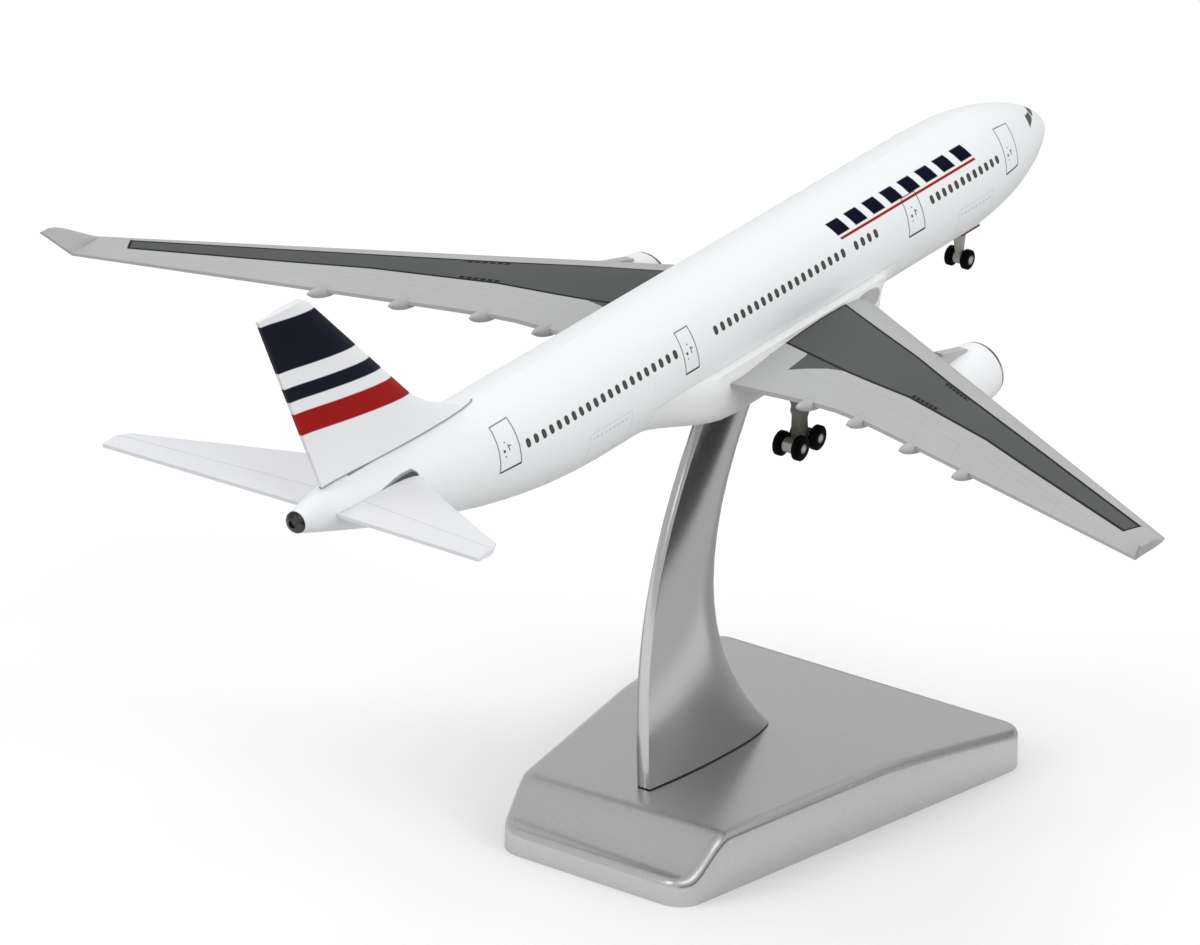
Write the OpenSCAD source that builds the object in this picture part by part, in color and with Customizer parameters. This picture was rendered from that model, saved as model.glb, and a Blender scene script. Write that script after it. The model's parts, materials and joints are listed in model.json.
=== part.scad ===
// Desktop airliner model: a twin-engined wide-body die-casting on a curved display stand.
// Sizes are in millimetres. The origin is the centre of the stand's underside, +X is forward, +Z is up.
// The aircraft is drawn level, by stations measured aft of its nose tip, and then set on the stand.

/* [Fuselage] */
// Length from the nose tip to the tail exhaust's joint
fuselage_len = 115.2; // [108:0.1:122]
// Diameter of the parallel middle of the fuselage
fuselage_d = 11.28; // [10.8:0.02:12]
// Wall of the cast half shells
fuselage_wall = 1.3; // [0.9:0.1:1.7]
// Drop of the nose tip below the fuselage axis
nose_drop = 1.2; // [0.6:0.1:2]
// Length over which the crown rises from the nose tip
nose_top_len = 17.8; // [14:0.2:22]
// Length over which the keel falls from the nose tip
nose_bottom_len = 18.8; // [14:0.2:22]
// Length over which the sides widen from the nose tip
nose_side_len = 20.5; // [16:0.5:24]
// Length of the rising keel at the tail
tail_keel_len = 37.2; // [30:0.1:38]
// Length of the narrowing sides at the tail
tail_taper_len = 31.2; // [26:0.1:35]
// Length of the falling crown at the tail
tail_crown_len = 7; // [5:0.1:12]
// Height of the tail exhaust's centre above the fuselage axis
tail_end_z = 3.88; // [3:0.02:4.2]
// Diameter at the tail exhaust's joint
tail_end_d = 2; // [1.6:0.02:2.6]
// Length of the domed tail exhaust
exhaust_len = 0.6; // [0.4:0.05:1.5]
// Bore of the tail exhaust
exhaust_bore_d = 0.7; // [0.4:0.1:1]

/* [Belly] */
// Station where the belly casting starts
belly_front = 33; // [30:0.5:36]
// Length of the belly casting
belly_len = 38.5; // [35:0.5:44]
// Depth of the belly's flat underside below the fuselage axis
belly_depth = 7.5; // [6.8:0.05:8]
// Width over the flat sides that carry the wings
belly_w = 12.2; // [11.8:0.1:13]
// Radius of the rounded lower edges
belly_edge_r = 2.4; // [1.5:0.1:2.6]
// Height of the seam with the shells, below the fuselage axis
belly_seam_drop = 1.6; // [1.2:0.1:1.8]
// Length over which the belly swells at its front
belly_front_blend = 5; // [3:0.5:7]
// Length over which the belly fades at its rear
belly_rear_blend = 12.5; // [10:0.5:17]

/* [Wings] */
// Distance of the wing root's leading edge behind the belly's front
wing_setback = 5.8; // [5:0.1:7]
// Chord at the root
wing_root_chord = 21.9; // [20:0.1:23]
// Span between the bends of the two winglets
wing_span = 116.9; // [104:0.1:126]
// Distance of the trailing edge's kink from the centre plane
wing_kink_y = 17.8; // [16:0.1:22]
// Length over which the kink is eased
wing_kink_ease = 3; // [1:0.1:5]
// Sweep of the leading edge
wing_le_sweep = 31.7; // [28:0.1:33]
// Sweep of the trailing edge beyond the kink
wing_te_sweep = 20.4; // [17:0.1:23]
// Dihedral of the wing
wing_dihedral = 3.4; // [2:0.1:6]
// Depth of the wing's chord plane at the root, below the fuselage axis
wing_drop = 3.3; // [3.1:0.1:3.8]
// Thickness at the root
wing_root_t = 2.3; // [1.8:0.1:2.6]
// Thickness at the winglet's bend
wing_tip_t = 0.5; // [0.4:0.05:0.9]
// Thickness of the trailing edge at the root
wing_edge_t = 0.46; // [0.3:0.02:0.6]
// Thickness of the trailing edge at the winglet
wing_edge_tip_t = 0.28; // [0.2:0.02:0.5]
// Length of the tenon in the belly
wing_tenon_len = 2.4; // [1.5:0.1:3]
// Height of the winglet
winglet_h = 2.6; // [1.5:0.05:4]
// Outward lean of the winglet
winglet_lean = 1.86; // [1:0.02:2.5]
// Chord at the winglet's top
winglet_chord = 2; // [1.4:0.1:3]
// Distance that the winglet's trailing edge rakes aft
winglet_rake = 2.1; // [1:0.1:3]
// Radius of the winglet's leading corner
winglet_corner_r = 0.9; // [0.3:0.1:1.2]

/* [Flap-track fairings] */
// Number of fairings under each wing
fairing_count = 4; // [2:1:4]
// Distance of the inner fairing from the centre plane
fairing_first_y = 14.7; // [13.5:0.1:16]
// Distance of the second fairing from the centre plane
fairing_second_y = 20.95; // [19.5:0.05:22]
// Spacing of the outer fairings
fairing_pitch = 7.35; // [6:0.05:9]
// Width of a fairing
fairing_w = 1.3; // [0.8:0.05:1.8]
// Height of a fairing
fairing_h = 1.25; // [0.8:0.05:1.6]
// Depth of a fairing's nose below the wing's chord plane
fairing_drop = 0.5; // [0.4:0.05:0.8]
// Height of a fairing's tail above the wing's chord plane
fairing_rise = 0.35; // [0:0.05:0.5]
// Length of a fairing
fairing_len = 5.6; // [4:0.1:8]
// Length of a fairing behind the trailing edge
fairing_tail = 2; // [1:0.1:2.5]

/* [Tail surfaces] */
// Height of the fin above the fuselage's crown
fin_h = 18.1; // [14:0.1:22]
// Chord of the fin at the crown, without its dorsal fillet
fin_root_chord = 16.3; // [14:0.1:17]
// Distance of the fin's trailing edge root ahead of the tail joint
fin_setback = 3.5; // [2.5:0.1:5]
// Sweep of the fin's leading edge
fin_le_sweep = 43.8; // [38:0.2:45]
// Sweep of the fin's trailing edge
fin_te_sweep = 21.6; // [14:0.2:26]
// Length of the dorsal fillet ahead of the leading edge
dorsal_len = 4.8; // [2:0.1:6]
// Height of the dorsal fillet
dorsal_h = 4; // [2:0.1:6]
// Thickness of the fin at its root
fin_root_t = 1.5; // [1.1:0.1:1.9]
// Thickness of the fin at its top
fin_tip_t = 0.8; // [0.5:0.05:1]
// Thickness of the fin's and the stabilizers' trailing edges
tail_edge_t = 0.34; // [0.2:0.02:0.5]
// Depth of the fin's tenon
fin_tenon_depth = 1.4; // [0.8:0.1:1.6]
// Chord of a stabilizer where it leaves the tail
stabilizer_root_chord = 9.9; // [8:0.1:11]
// Distance of a stabilizer's root trailing edge ahead of the tail joint
stabilizer_setback = 3.3; // [2.5:0.1:4.5]
// Distance of a stabilizer's tip from the centre plane
stabilizer_reach = 20.2; // [16:0.1:24]
// Sweep of a stabilizer's leading edge
stabilizer_le_sweep = 32.6; // [28:0.2:36]
// Sweep of a stabilizer's trailing edge
stabilizer_te_sweep = 13.8; // [8:0.2:18]
// Dihedral of the stabilizers
stabilizer_dihedral = 8.4; // [4:0.2:10]
// Height of a stabilizer's root above the fuselage axis
stabilizer_z = 3.6; // [3.4:0.05:4]
// Thickness of a stabilizer at its root
stabilizer_root_t = 1.05; // [0.9:0.05:1.4]
// Thickness of a stabilizer at its tip
stabilizer_tip_t = 0.55; // [0.4:0.05:0.8]
// Depth of a stabilizer's tenon
stabilizer_tenon_depth = 0.8; // [0.5:0.05:0.9]

/* [Engines] */
// Distance of an engine's axis from the centre plane
engine_y = 18.74; // [17:0.02:21]
// Distance of an engine's inlet ahead of the wing
engine_lead = 7; // [5:0.1:8]
// Distance of an engine's axis below the wing's chord plane
engine_drop = 4.2; // [3.9:0.05:5]
// Length of a nacelle with its inlet ring
nacelle_len = 9.4; // [8:0.1:11]
// Greatest diameter of a nacelle
nacelle_d = 6; // [5.6:0.05:6.4]
// Diameter of a nacelle at its inlet
inlet_d = 5.5; // [4.8:0.05:5.6]
// Diameter of a nacelle at its rear edge
nacelle_exit_d = 4.5; // [4.2:0.05:5]
// Wall of a nacelle at its rear edge
nacelle_wall = 0.35; // [0.25:0.05:0.45]
// Length of the metal inlet ring
inlet_ring_len = 0.45; // [0.3:0.05:0.8]
// Depth of the fan behind the inlet
fan_depth = 2; // [1.6:0.1:2.6]
// Thickness of the fan disc
fan_t = 0.6; // [0.4:0.1:1]
// Diameter of the fan's spinner
spinner_d = 1.7; // [1.2:0.1:2.2]
// Diameter of the core nozzle
core_d = 2.9; // [2.2:0.1:3.2]
// Length of the core nozzle behind the nacelle
core_tail = 2; // [1:0.1:3]
// Thickness of a pylon
pylon_t = 1; // [0.7:0.05:1.3]
// Distance of a pylon's front end behind the inlet
pylon_start = 2.6; // [1.5:0.1:3.5]
// Length of a pylon under the wing
pylon_reach = 8; // [5:0.1:9]

/* [Undercarriage] */
// Diameter of the main wheels
main_wheel_d = 2.34; // [2:0.02:2.6]
// Diameter of the nose wheels
nose_wheel_d = 1.96; // [1.6:0.02:2.2]
// Width of a wheel
wheel_w = 0.8; // [0.5:0.02:0.9]
// Diameter of a wheel's hub
hub_d = 0.9; // [0.8:0.02:1.2]
// Diameter of the axles
axle_d = 0.56; // [0.4:0.02:0.6]
// Diameter of the sleeves that the axles turn in
sleeve_d = 1.4; // [1.1:0.05:1.6]
// Spacing of the two main wheels on an axle
main_wheel_gap = 2.04; // [1.8:0.02:2.4]
// Spacing of the two nose wheels
nose_wheel_gap = 1.8; // [1.5:0.02:2]
// Spacing of the two axles on a main leg
bogie_len = 2.68; // [2.66:0.02:3.2]
// Distance of a main leg from the centre plane
main_leg_y = 11.1; // [10.6:0.02:12]
// Distance of a main leg ahead of the wing root's trailing edge
main_leg_lead = 3.3; // [3:0.1:5]
// Depth of the main axles below the fuselage axis
main_axle_drop = 8.76; // [8:0.02:10]
// Fore and aft width of a main leg
main_leg_w = 1.45; // [1:0.05:1.6]
// Thickness of a main leg
main_leg_t = 0.9; // [0.7:0.05:1.1]
// Station of the nose leg
nose_leg_station = 14.74; // [13.5:0.02:17]
// Depth of the nose axle below the fuselage axis
nose_axle_drop = 9.38; // [8.4:0.02:10]
// Diameter of the nose leg
nose_leg_d = 0.9; // [0.7:0.05:1.1]
// Length of the nose doors
nose_door_len = 3; // [2:0.1:4]
// Height of the nose doors
nose_door_h = 1; // [0.5:0.1:1.4]
// Distance of the nose doors from the centre plane
nose_door_y = 1.2; // [1:0.05:1.6]
// Thickness of the nose doors
nose_door_t = 0.3; // [0.2:0.05:0.4]

/* [Stand] */
// Length of the base
base_len = 45.5; // [42:0.5:56]
// Width of the base at its front
base_front_w = 37.6; // [30:0.2:44]
// Width of the base at its rear
base_rear_w = 21.2; // [18:0.2:26]
// Height of the base at the arm's foot
base_h = 6; // [5:0.1:8]
// Height of the base at its front edge
base_front_h = 3.7; // [3.2:0.1:4.6]
// Height of the lip at the base's rear
base_lip_h = 2.6; // [2:0.1:3.6]
// Length of the lip behind the rear slope
base_lip_len = 0.7; // [0.3:0.1:2]
// Length of the base's rear slope
base_rear_slope = 5.3; // [3:0.1:6]
// Distance of the front slope's start ahead of the base's centre
base_break_x = 3; // [0:0.5:6]
// Radius of the base's front corners in plan
base_front_corner_r = 3.3; // [2:0.1:7]
// Radius of the base's rear corners in plan
base_rear_corner_r = 2.2; // [1.2:0.1:3]
// Width of the rounded shoulder along the base's upper edge
base_shoulder_w = 1.2; // [0.6:0.1:1.8]
// Height of the rounded shoulder
base_shoulder_h = 0.8; // [0.3:0.05:1]
// Wall of the base
base_wall = 1.6; // [1.2:0.1:2]
// Thickness of the ballast plate under the base
plate_t = 1.2; // [0.8:0.1:1.4]
// Height of the arm's seat above the table, at the peg
arm_h = 42.35; // [36:0.05:52]
// Distance of the arm's foot behind the base's centre
arm_foot_back = 14.3; // [12:0.1:15]
// Distance of the arm's foot ahead of the base's centre
arm_foot_front = 4.6; // [3:0.1:7]
// Distance of the arm's seat behind the base's centre
arm_seat_back = 4.6; // [4:0.1:6]
// Distance of the arm's seat ahead of the base's centre
arm_seat_front = 2; // [1.6:0.1:4]
// Distance that the arm's rear edge bulges behind its foot
arm_bulge = 1.6; // [0.5:0.1:3]
// Distance of the arm's front hollow behind the base's centre
arm_hollow = 7.3; // [6:0.1:8]
// Distance that the hollow leans aft above and forward below
arm_lean = 2.4; // [1:0.1:3]
// Width of the arm's flat rear edge at its foot
arm_edge_foot_w = 1.4; // [0.5:0.05:1.8]
// Width of the arm's flat rear edge at its seat
arm_edge_seat_w = 1; // [0.5:0.05:1.2]
// Thickness of the arm at its foot
arm_foot_t = 3.7; // [3.4:0.1:5]
// Thickness of the arm at its seat
arm_seat_t = 4; // [3.8:0.1:5]
// Distance of the peg behind the base's centre
peg_back = 1.5; // [1.3:0.1:1.9]
// Diameter of the peg
peg_d = 2.2; // [1.8:0.1:2.3]
// Length of the peg in the belly
peg_len = 4; // [2.5:0.1:4.2]
// Depth of the peg in the arm
peg_root = 2.2; // [1.6:0.1:2.3]
// Station of the peg
peg_station = 52.7; // [50:0.1:54]
// Wall of the belly's socket bush
socket_wall = 0.7; // [0.5:0.05:0.9]
// Nose-up angle of the aircraft on its stand
pitch = 3.3; // [0:0.1:6]
// Diameter of the arm's screws
screw_d = 1.9; // [1.6:0.1:2.2]
// Diameter of the screws' heads
screw_head_d = 3.6; // [3:0.1:4]
// Height of the screws' heads
screw_head_h = 1.2; // [0.8:0.1:1.5]
// Depth of the screws in the arm
screw_grip = 5; // [3:0.1:7]
// Distance of the rear screw behind the base's centre
screw_rear_x = 10; // [9.5:0.1:10.5]
// Distance of the front screw behind the base's centre
screw_front_x = 5.5; // [5:0.1:6]

/* [Clearances] */
// Gap at glued joints between castings
joint_gap = 0.04; // [0.02:0.01:0.08]
// Gap around tenons and spigots
tenon_gap = 0.05; // [0.02:0.01:0.1]
// Radial gap of the axles and the peg
running_gap = 0.04; // [0.02:0.01:0.08]
// Gap beside the wheels
wheel_side_gap = 0.1; // [0.06:0.01:0.15]
// Gap between the belly and the arm's seat
seat_gap = 0.1; // [0.05:0.01:0.2]

/* [Hidden] */
$fn = 48;

body_r = fuselage_d / 2;
tail_end_r = tail_end_d / 2;
keel_start = fuselage_len - tail_keel_len;
taper_start = fuselage_len - tail_taper_len;
crown_start = fuselage_len - tail_crown_len;
nose_top_power = 0.66;
nose_bottom_power = 0.72;
nose_side_power = 0.84;
tail_keel_power = 1.62;
tail_side_power = 1.58;
tail_crown_power = 2;
belly_end = belly_front + belly_len;
belly_y = belly_w / 2;
shell_step = 0.02;
arc_steps = 18;
inner_steps = 7;
wing_le_root = belly_front + wing_setback;
wing_te_root = wing_le_root + wing_root_chord;
wing_tip_y = wing_span / 2;
fin_te_root = fuselage_len - fin_setback;
fin_le_root = fin_te_root - fin_root_chord;
stabilizer_te_root = fuselage_len - stabilizer_setback;
stabilizer_le_root = stabilizer_te_root - stabilizer_root_chord;
main_leg_station = wing_te_root - main_leg_lead;

function clamp01(t) = max(0, min(1, t));
function lerp(a, b, t) = a + (b - a) * t;
function smooth(t) = let (u = clamp01(t)) u * u * (3 - 2 * u);
function corner_drop(d, r) = d >= r ? 0 : r - sqrt(max(0, r * r - (r - d) * (r - d)));
function sorted(v) = len(v) < 2 ? v : let (p = v[0], rest = [for (i = [1:len(v) - 1]) v[i]])
    concat(sorted([for (x = rest) if (x < p) x]), [p], sorted([for (x = rest) if (x > p) x]));
function bezier(p, t) = pow(1 - t, 3) * p[0] + 3 * t * pow(1 - t, 2) * p[1]
    + 3 * t * t * (1 - t) * p[2] + pow(t, 3) * p[3];

// A skin over rings of points: every ring has as many points, and the two end rings are capped.
function cap(first, n, apex, way) = [for (j = [0:n - 1]) first + (apex + way * j + n) % n];
function skin_faces(n, m, apex) = concat(
    [for (i = [0:m - 2]) for (j = [0:n - 1]) let (a = i * n + j, b = i * n + (j + 1) % n)
        each [[a, a + n, b + n], [a, b + n, b]]],
    [cap(0, n, apex, 1), cap((m - 1) * n, n, apex, -1)]);
function turn_volume(p, f) = [for (t = f) for (k = [1:len(t) - 2])
    cross(p[t[0]], p[t[k]]) * p[t[k + 1]]] * [for (t = f) for (k = [1:len(t) - 2]) 1];
function flipped(f) = [for (t = f) [for (k = [len(t) - 1:-1:0]) t[k]]];

module skin(rings, apex = 0) {
    points = [for (r = rings) each r];
    faces = skin_faces(len(rings[0]), len(rings), apex);
    polyhedron(points, turn_volume(points, faces) > 0 ? flipped(faces) : faces, convexity = 6);
}

// The aircraft's frame, and parts turned about a fore and aft line or a crosswise line in it.
module peg_axis() { translate([-peg_back, 0, arm_h]) rotate([0, -pitch, 0]) children(); }
module on_stand() { peg_axis() translate([peg_station, 0, belly_depth + seat_gap]) children(); }
module mirrored(right) {
    if (right) mirror([0, 1, 0]) children();
    else children();
}
module along_aft(station, y, z) { translate([-station, y, z]) rotate([0, -90, 0]) children(); }
module along_y(station, y, z) { translate([-station, y, z]) rotate([-90, 0, 0]) children(); }

// Fuselage: crown, keel and side lines by station
function nose_rise(u, power) = pow(1 - pow(1 - clamp01(u), 2), power);
function crown_z(s) = lerp(-nose_drop, body_r, nose_rise(s / nose_top_len, nose_top_power))
    - (body_r - tail_end_z - tail_end_r)
        * pow(clamp01((s - crown_start) / tail_crown_len), tail_crown_power);
function keel_z(s) = lerp(-nose_drop, -body_r, nose_rise(s / nose_bottom_len, nose_bottom_power))
    + (body_r + tail_end_z - tail_end_r) * pow(clamp01((s - keel_start) / tail_keel_len), tail_keel_power);
function side_y(s) = body_r * nose_rise(s / nose_side_len, nose_side_power)
    - (body_r - tail_end_r) * pow(clamp01((s - taper_start) / tail_taper_len), tail_side_power);
function mid_z(s) = (crown_z(s) + keel_z(s)) / 2;
function half_h(s) = (crown_z(s) - keel_z(s)) / 2;
function surface_y(s, z) = side_y(s) * sqrt(max(0, 1 - pow((z - mid_z(s)) / half_h(s), 2)));
function surface_top(s, y) = mid_z(s) + half_h(s) * sqrt(max(0, 1 - pow(y / side_y(s), 2)));
function surface_bottom(s, y) = mid_z(s) - half_h(s) * sqrt(max(0, 1 - pow(y / side_y(s), 2)));

// Fin: outline and tenon
fin_tenon_scale = 0.42;
fin_tenon_station = fin_te_root - 0.47 * fin_root_chord;
fin_tenon_half = fin_tenon_scale * (fin_root_chord + dorsal_len) / 2;
fin_tenon_t = 0.8;
fin_slot_front = fin_tenon_station - fin_tenon_half - tenon_gap;
fin_slot_end = fin_tenon_station + fin_tenon_half + tenon_gap;
fin_slot_y = fin_tenon_t / 2 + tenon_gap;
fin_slot_depth = fin_tenon_depth + tenon_gap;

// One ring of a half shell: its outer arc runs down from the crown, its inner line runs up again.
SOLID = 0;
HOLLOW = 1;
OPEN = 2;
SLOT = 3;
function shell_inner(s, kind) = let (m = mid_z(s),
    w = side_y(s) - fuselage_wall, h = half_h(s) - fuselage_wall)
    kind == HOLLOW || kind == OPEN
    ? let (low = kind == OPEN ? asin((-belly_seam_drop - m) / h) : -90)
        [for (k = [0:inner_steps]) let (a = lerp(low, 90, k / inner_steps)) [-s, w * cos(a), m + h * sin(a)]]
    : kind == SLOT
    ? let (floor_z = crown_z(s) - fin_slot_depth)
        concat([for (k = [1:inner_steps]) [-s, 0, lerp(keel_z(s), floor_z, k / inner_steps)]],
            [[-s, fin_slot_y, floor_z]])
    : [for (k = [0:inner_steps]) [-s, 0, lerp(keel_z(s), crown_z(s), (k + 1) / (inner_steps + 2))]];
function shell_ring(s, kind) = let (m = mid_z(s),
    high = kind == SLOT ? acos(fin_slot_y / side_y(s)) : 90,
    low = kind == OPEN ? asin((-belly_seam_drop - m) / half_h(s)) : -90)
    concat([for (i = [0:arc_steps]) let (a = lerp(high, low, i / arc_steps))
        [-s, side_y(s) * cos(a), m + half_h(s) * sin(a)]], shell_inner(s, kind));

cavity_front = 9;
cavity_end = taper_start + 0.3 * tail_taper_len;
nose_rings = 12;
tail_rings = 7;
function between(a, b, n) = [for (i = [1:n]) lerp(a, b, i / n)];
shell_plan = concat(
    [for (i = [1:nose_rings]) [cavity_front * pow(i / nose_rings, 2.4), SOLID]],
    [[cavity_front + shell_step, HOLLOW]],
    [for (s = between(cavity_front + shell_step, nose_side_len, 6)) [s, HOLLOW]],
    [[belly_front, HOLLOW], [belly_front + shell_step, OPEN]],
    [[belly_end - shell_step, OPEN], [belly_end, HOLLOW]],
    [for (s = between(belly_end, cavity_end, tail_rings)) [s, HOLLOW]],
    [[cavity_end + shell_step, SOLID], [fin_slot_front - shell_step, SOLID]],
    [for (s = between(fin_slot_front - fin_tenon_half, fin_slot_end, 6)) if (s >= fin_slot_front) [s, SLOT]],
    [[fin_slot_end + shell_step, SOLID]],
    [for (s = between(fin_slot_end + shell_step, fuselage_len, 4)) [s, SOLID]]);

nose_spigot_d = 0.7 * nose_leg_d;

module half_shell() {
    difference() {
        skin([for (p = shell_plan) shell_ring(p[0], p[1])], apex = floor(arc_steps / 2));
        stabilizer_pocket();
        translate([-nose_leg_station, 0, keel_z(nose_leg_station) - 1])
            cylinder(d = nose_spigot_d + 2 * tenon_gap, h = 1 + fuselage_wall / 2);
    }
}
module fuselage_left() { color("white") on_stand() half_shell(); }
module fuselage_right() { color("white") on_stand() mirrored(true) half_shell(); }

module tail_exhaust() {
    dome = [for (a = [0:15:75]) [tail_end_r * cos(a), joint_gap + exhaust_len * sin(a)]];
    color("dimgray") on_stand() along_aft(fuselage_len, 0, tail_end_z) difference() {
        rotate_extrude() polygon(concat([[0, joint_gap]], dome, [[0, dome[len(dome) - 1][1]]]));
        translate([0, 0, 0.6 * exhaust_len]) cylinder(d = exhaust_bore_d, h = exhaust_len);
    }
}

// Belly: half of a section from the seam down to the centre, round as the shell or squared as the fairing
edge_arc = [0:22.5:90];
function belly_square(seam_y) = concat(
    [[seam_y, -belly_seam_drop - joint_gap]],
    [for (u = [0, 0.5]) [belly_y, lerp(-belly_seam_drop - 0.25, -belly_depth + belly_edge_r, u)]],
    [for (a = edge_arc) [belly_y - belly_edge_r * (1 - cos(a)), -belly_depth + belly_edge_r * (1 - sin(a))]],
    [[0, -belly_depth]]);
function belly_half(s) = let (start = asin((-belly_seam_drop - joint_gap) / body_r),
    square = belly_square(body_r * cos(start)), n = len(square) - 1,
    swell = smooth((s - belly_front) / belly_front_blend) * smooth((belly_end - s) / belly_rear_blend))
    [for (i = [0:n]) let (a = lerp(start, -90, i / n)) lerp(body_r * [cos(a), sin(a)], square[i], swell)];
function belly_ring(s) = let (h = belly_half(s), n = len(h) - 1)
    concat([for (p = h) [-s, p[0], p[1]]], [for (i = [n - 1:-1:0]) [-s, -h[i][0], h[i][1]]]);
belly_stations = concat(
    [for (i = [0:6]) lerp(belly_front + joint_gap, belly_front + belly_front_blend, i / 6)],
    between(belly_front + belly_front_blend, belly_end - belly_rear_blend, 3),
    between(belly_end - belly_rear_blend, belly_end - joint_gap, 9));

socket_len = peg_len + 0.5;
socket_d = peg_d + 2 * running_gap + 2 * socket_wall;

module belly_fairing() {
    color("white") on_stand() difference() {
        skin([for (s = belly_stations) belly_ring(s)], apex = len(belly_half(belly_front)) - 1);
        translate([-peg_station, 0, -belly_depth - 1]) cylinder(d = socket_d, h = socket_len + 1);
        for (right = [false, true]) mirrored(right) wing_pocket();
    }
}
module belly_socket() {
    color("goldenrod") on_stand() translate([-peg_station, 0, -belly_depth]) difference() {
        cylinder(d = socket_d, h = socket_len);
        translate([0, 0, -1]) cylinder(d = peg_d + 2 * running_gap, h = socket_len + 2);
    }
}

// Section of a wing or tail surface: upper side from the leading edge aft, then the lower side forward
aero_steps = 10;
function aero_u(k) = (1 - cos(180 * k / aero_steps)) / 2;
function aero_shape(u) = 2.969 * sqrt(u) - 1.26 * u - 3.516 * u * u + 2.843 * pow(u, 3) - 1.036 * pow(u, 4);
function aero_half(u, t, edge_t) = max(aero_shape(u) * t, edge_t * min(1, 4 * u)) / 2;

// Wing: outline by distance from the centre plane
function wing_le(y) = wing_le_root + (y - belly_y) * tan(wing_le_sweep);
function wing_te(y) = let (d = y - wing_kink_y)
    wing_te_root + (d + sqrt(d * d + wing_kink_ease * wing_kink_ease)) / 2 * tan(wing_te_sweep);
function wing_z(y) = -wing_drop + (y - belly_y) * tan(wing_dihedral);
function wing_out(y) = clamp01((y - belly_y) / (wing_tip_y - belly_y));
function wing_t(y) = lerp(wing_root_t, wing_tip_t, pow(wing_out(y), 0.75));
function wing_edge(y) = lerp(wing_edge_t, wing_edge_tip_t, wing_out(y));
function wing_u(s, y) = clamp01((s - wing_le(y)) / (wing_te(y) - wing_le(y)));
upper_share = 1.1;
lower_share = 0.9;
function wing_lower(s, y) = wing_z(y) - lower_share * aero_half(wing_u(s, y), wing_t(y), wing_edge(y));

function wing_ring(y) = let (le = wing_le(y), c = wing_te(y) - le, z = wing_z(y), t = wing_t(y))
    [for (k = [for (i = [0:aero_steps]) i, for (i = [aero_steps:-1:1]) -i])
        let (u = aero_u(abs(k)), h = aero_half(u, t, wing_edge(y)))
        [-(le + c * u), y, z + (k >= 0 ? upper_share : -lower_share) * h]];
corner_start = 0.6;
function winglet_trim(v) =
    winglet_corner_r * (1 - sqrt(1 - pow(clamp01((v - corner_start) / (1 - corner_start)), 2)));
function winglet_ring(v) = let (le = wing_le(wing_tip_y), te = wing_te(wing_tip_y),
    te_v = te + winglet_rake * v, c = lerp(te - le, winglet_chord, pow(v, 0.8)) - winglet_trim(v),
    t = lerp(wing_tip_t, 1.4 * wing_edge_tip_t, v), cant = atan2(winglet_h, winglet_lean),
    y = wing_tip_y + winglet_lean * v, z = wing_z(wing_tip_y) + winglet_h * v)
    [for (k = [for (i = [0:aero_steps]) i, for (i = [aero_steps:-1:1]) -i])
        let (u = aero_u(abs(k)), side = k >= 0 ? upper_share : -lower_share,
            h = side * aero_half(u, t, wing_edge_tip_t))
        [-(te_v - c * (1 - u)), y - h * sin(cant), z + h * cos(cant)]];
wing_tenon_share = 0.5;
wing_tenon_height = 0.55;
wing_tenon_mid = 0.45;
function wing_tenon_ring(y) = let (mid = -(wing_le_root + wing_root_chord * wing_tenon_mid))
    [for (p = wing_ring(belly_y))
        [mid + (p[0] - mid) * wing_tenon_share, y, -wing_drop + (p[2] + wing_drop) * wing_tenon_height]];
wing_stations = concat([belly_y],
    [for (i = [-2:2]) wing_kink_y + i * wing_kink_ease],
    between(wing_kink_y + 2 * wing_kink_ease, wing_tip_y, 4));
winglet_steps = [0.12, 0.3, 0.5, 0.7, 0.84, 0.94, 1];

// Flap-track fairing: a boat-shaped body along the stream, half sunk in the wing
fairing_sides = 12;
fairing_rings = 9;
fairing_end = 0.02;
function fairing_y(i) = i == 0 ? fairing_first_y : fairing_second_y + (i - 1) * fairing_pitch;
function fairing_fullness(t) = pow(1 - pow(abs(2 * t - 1), 2.4), 0.7);
function fairing_ring(y, t) = let (full = fairing_fullness(t),
    s = wing_te(y) + fairing_tail - fairing_len * (1 - t),
    z = wing_z(y) + lerp(-fairing_drop, fairing_rise, t * t))
    [for (i = [0:fairing_sides - 1]) let (a = 360 * i / fairing_sides)
        [-s, y + fairing_w / 2 * full * cos(a), z + fairing_h / 2 * full * sin(a)]];
module fairing(y) {
    marks = [for (i = [0:fairing_rings]) lerp(fairing_end, 1 - fairing_end, i / fairing_rings)];
    skin([for (t = marks) fairing_ring(y, t)]);
}

leg_spigot_d = 0.9;
leg_spigot_h = 0.5;

module wing() {
    face_y = belly_y + joint_gap / 2;
    tenon = [for (y = [belly_y - wing_tenon_len, belly_y - joint_gap / 2]) wing_tenon_ring(y)];
    blade = [for (y = wing_stations) [for (p = wing_ring(y)) [p[0], max(y, face_y), p[2]]]];
    difference() {
        union() {
            skin(concat(tenon, blade, [for (v = winglet_steps) winglet_ring(v)]));
            for (i = [0:fairing_count - 1]) fairing(fairing_y(i));
        }
        translate([-main_leg_station, main_leg_y, wing_lower(main_leg_station, main_leg_y) - 1])
            cylinder(d = leg_spigot_d + 2 * tenon_gap, h = 1 + leg_spigot_h + tenon_gap);
    }
}
module wing_pocket() {
    front = wing_le_root + wing_root_chord * wing_tenon_mid * (1 - wing_tenon_share);
    w = wing_root_chord * wing_tenon_share;
    t = wing_root_t * wing_tenon_height;
    floor_z = -wing_drop - lower_share * t / 2 - tenon_gap;
    translate([-front - w - tenon_gap, belly_y - wing_tenon_len - tenon_gap, floor_z])
        cube([w + 2 * tenon_gap, 2 * wing_tenon_len, t + 2 * tenon_gap]);
}
module left_wing() { color("silver") on_stand() wing(); }
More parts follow.
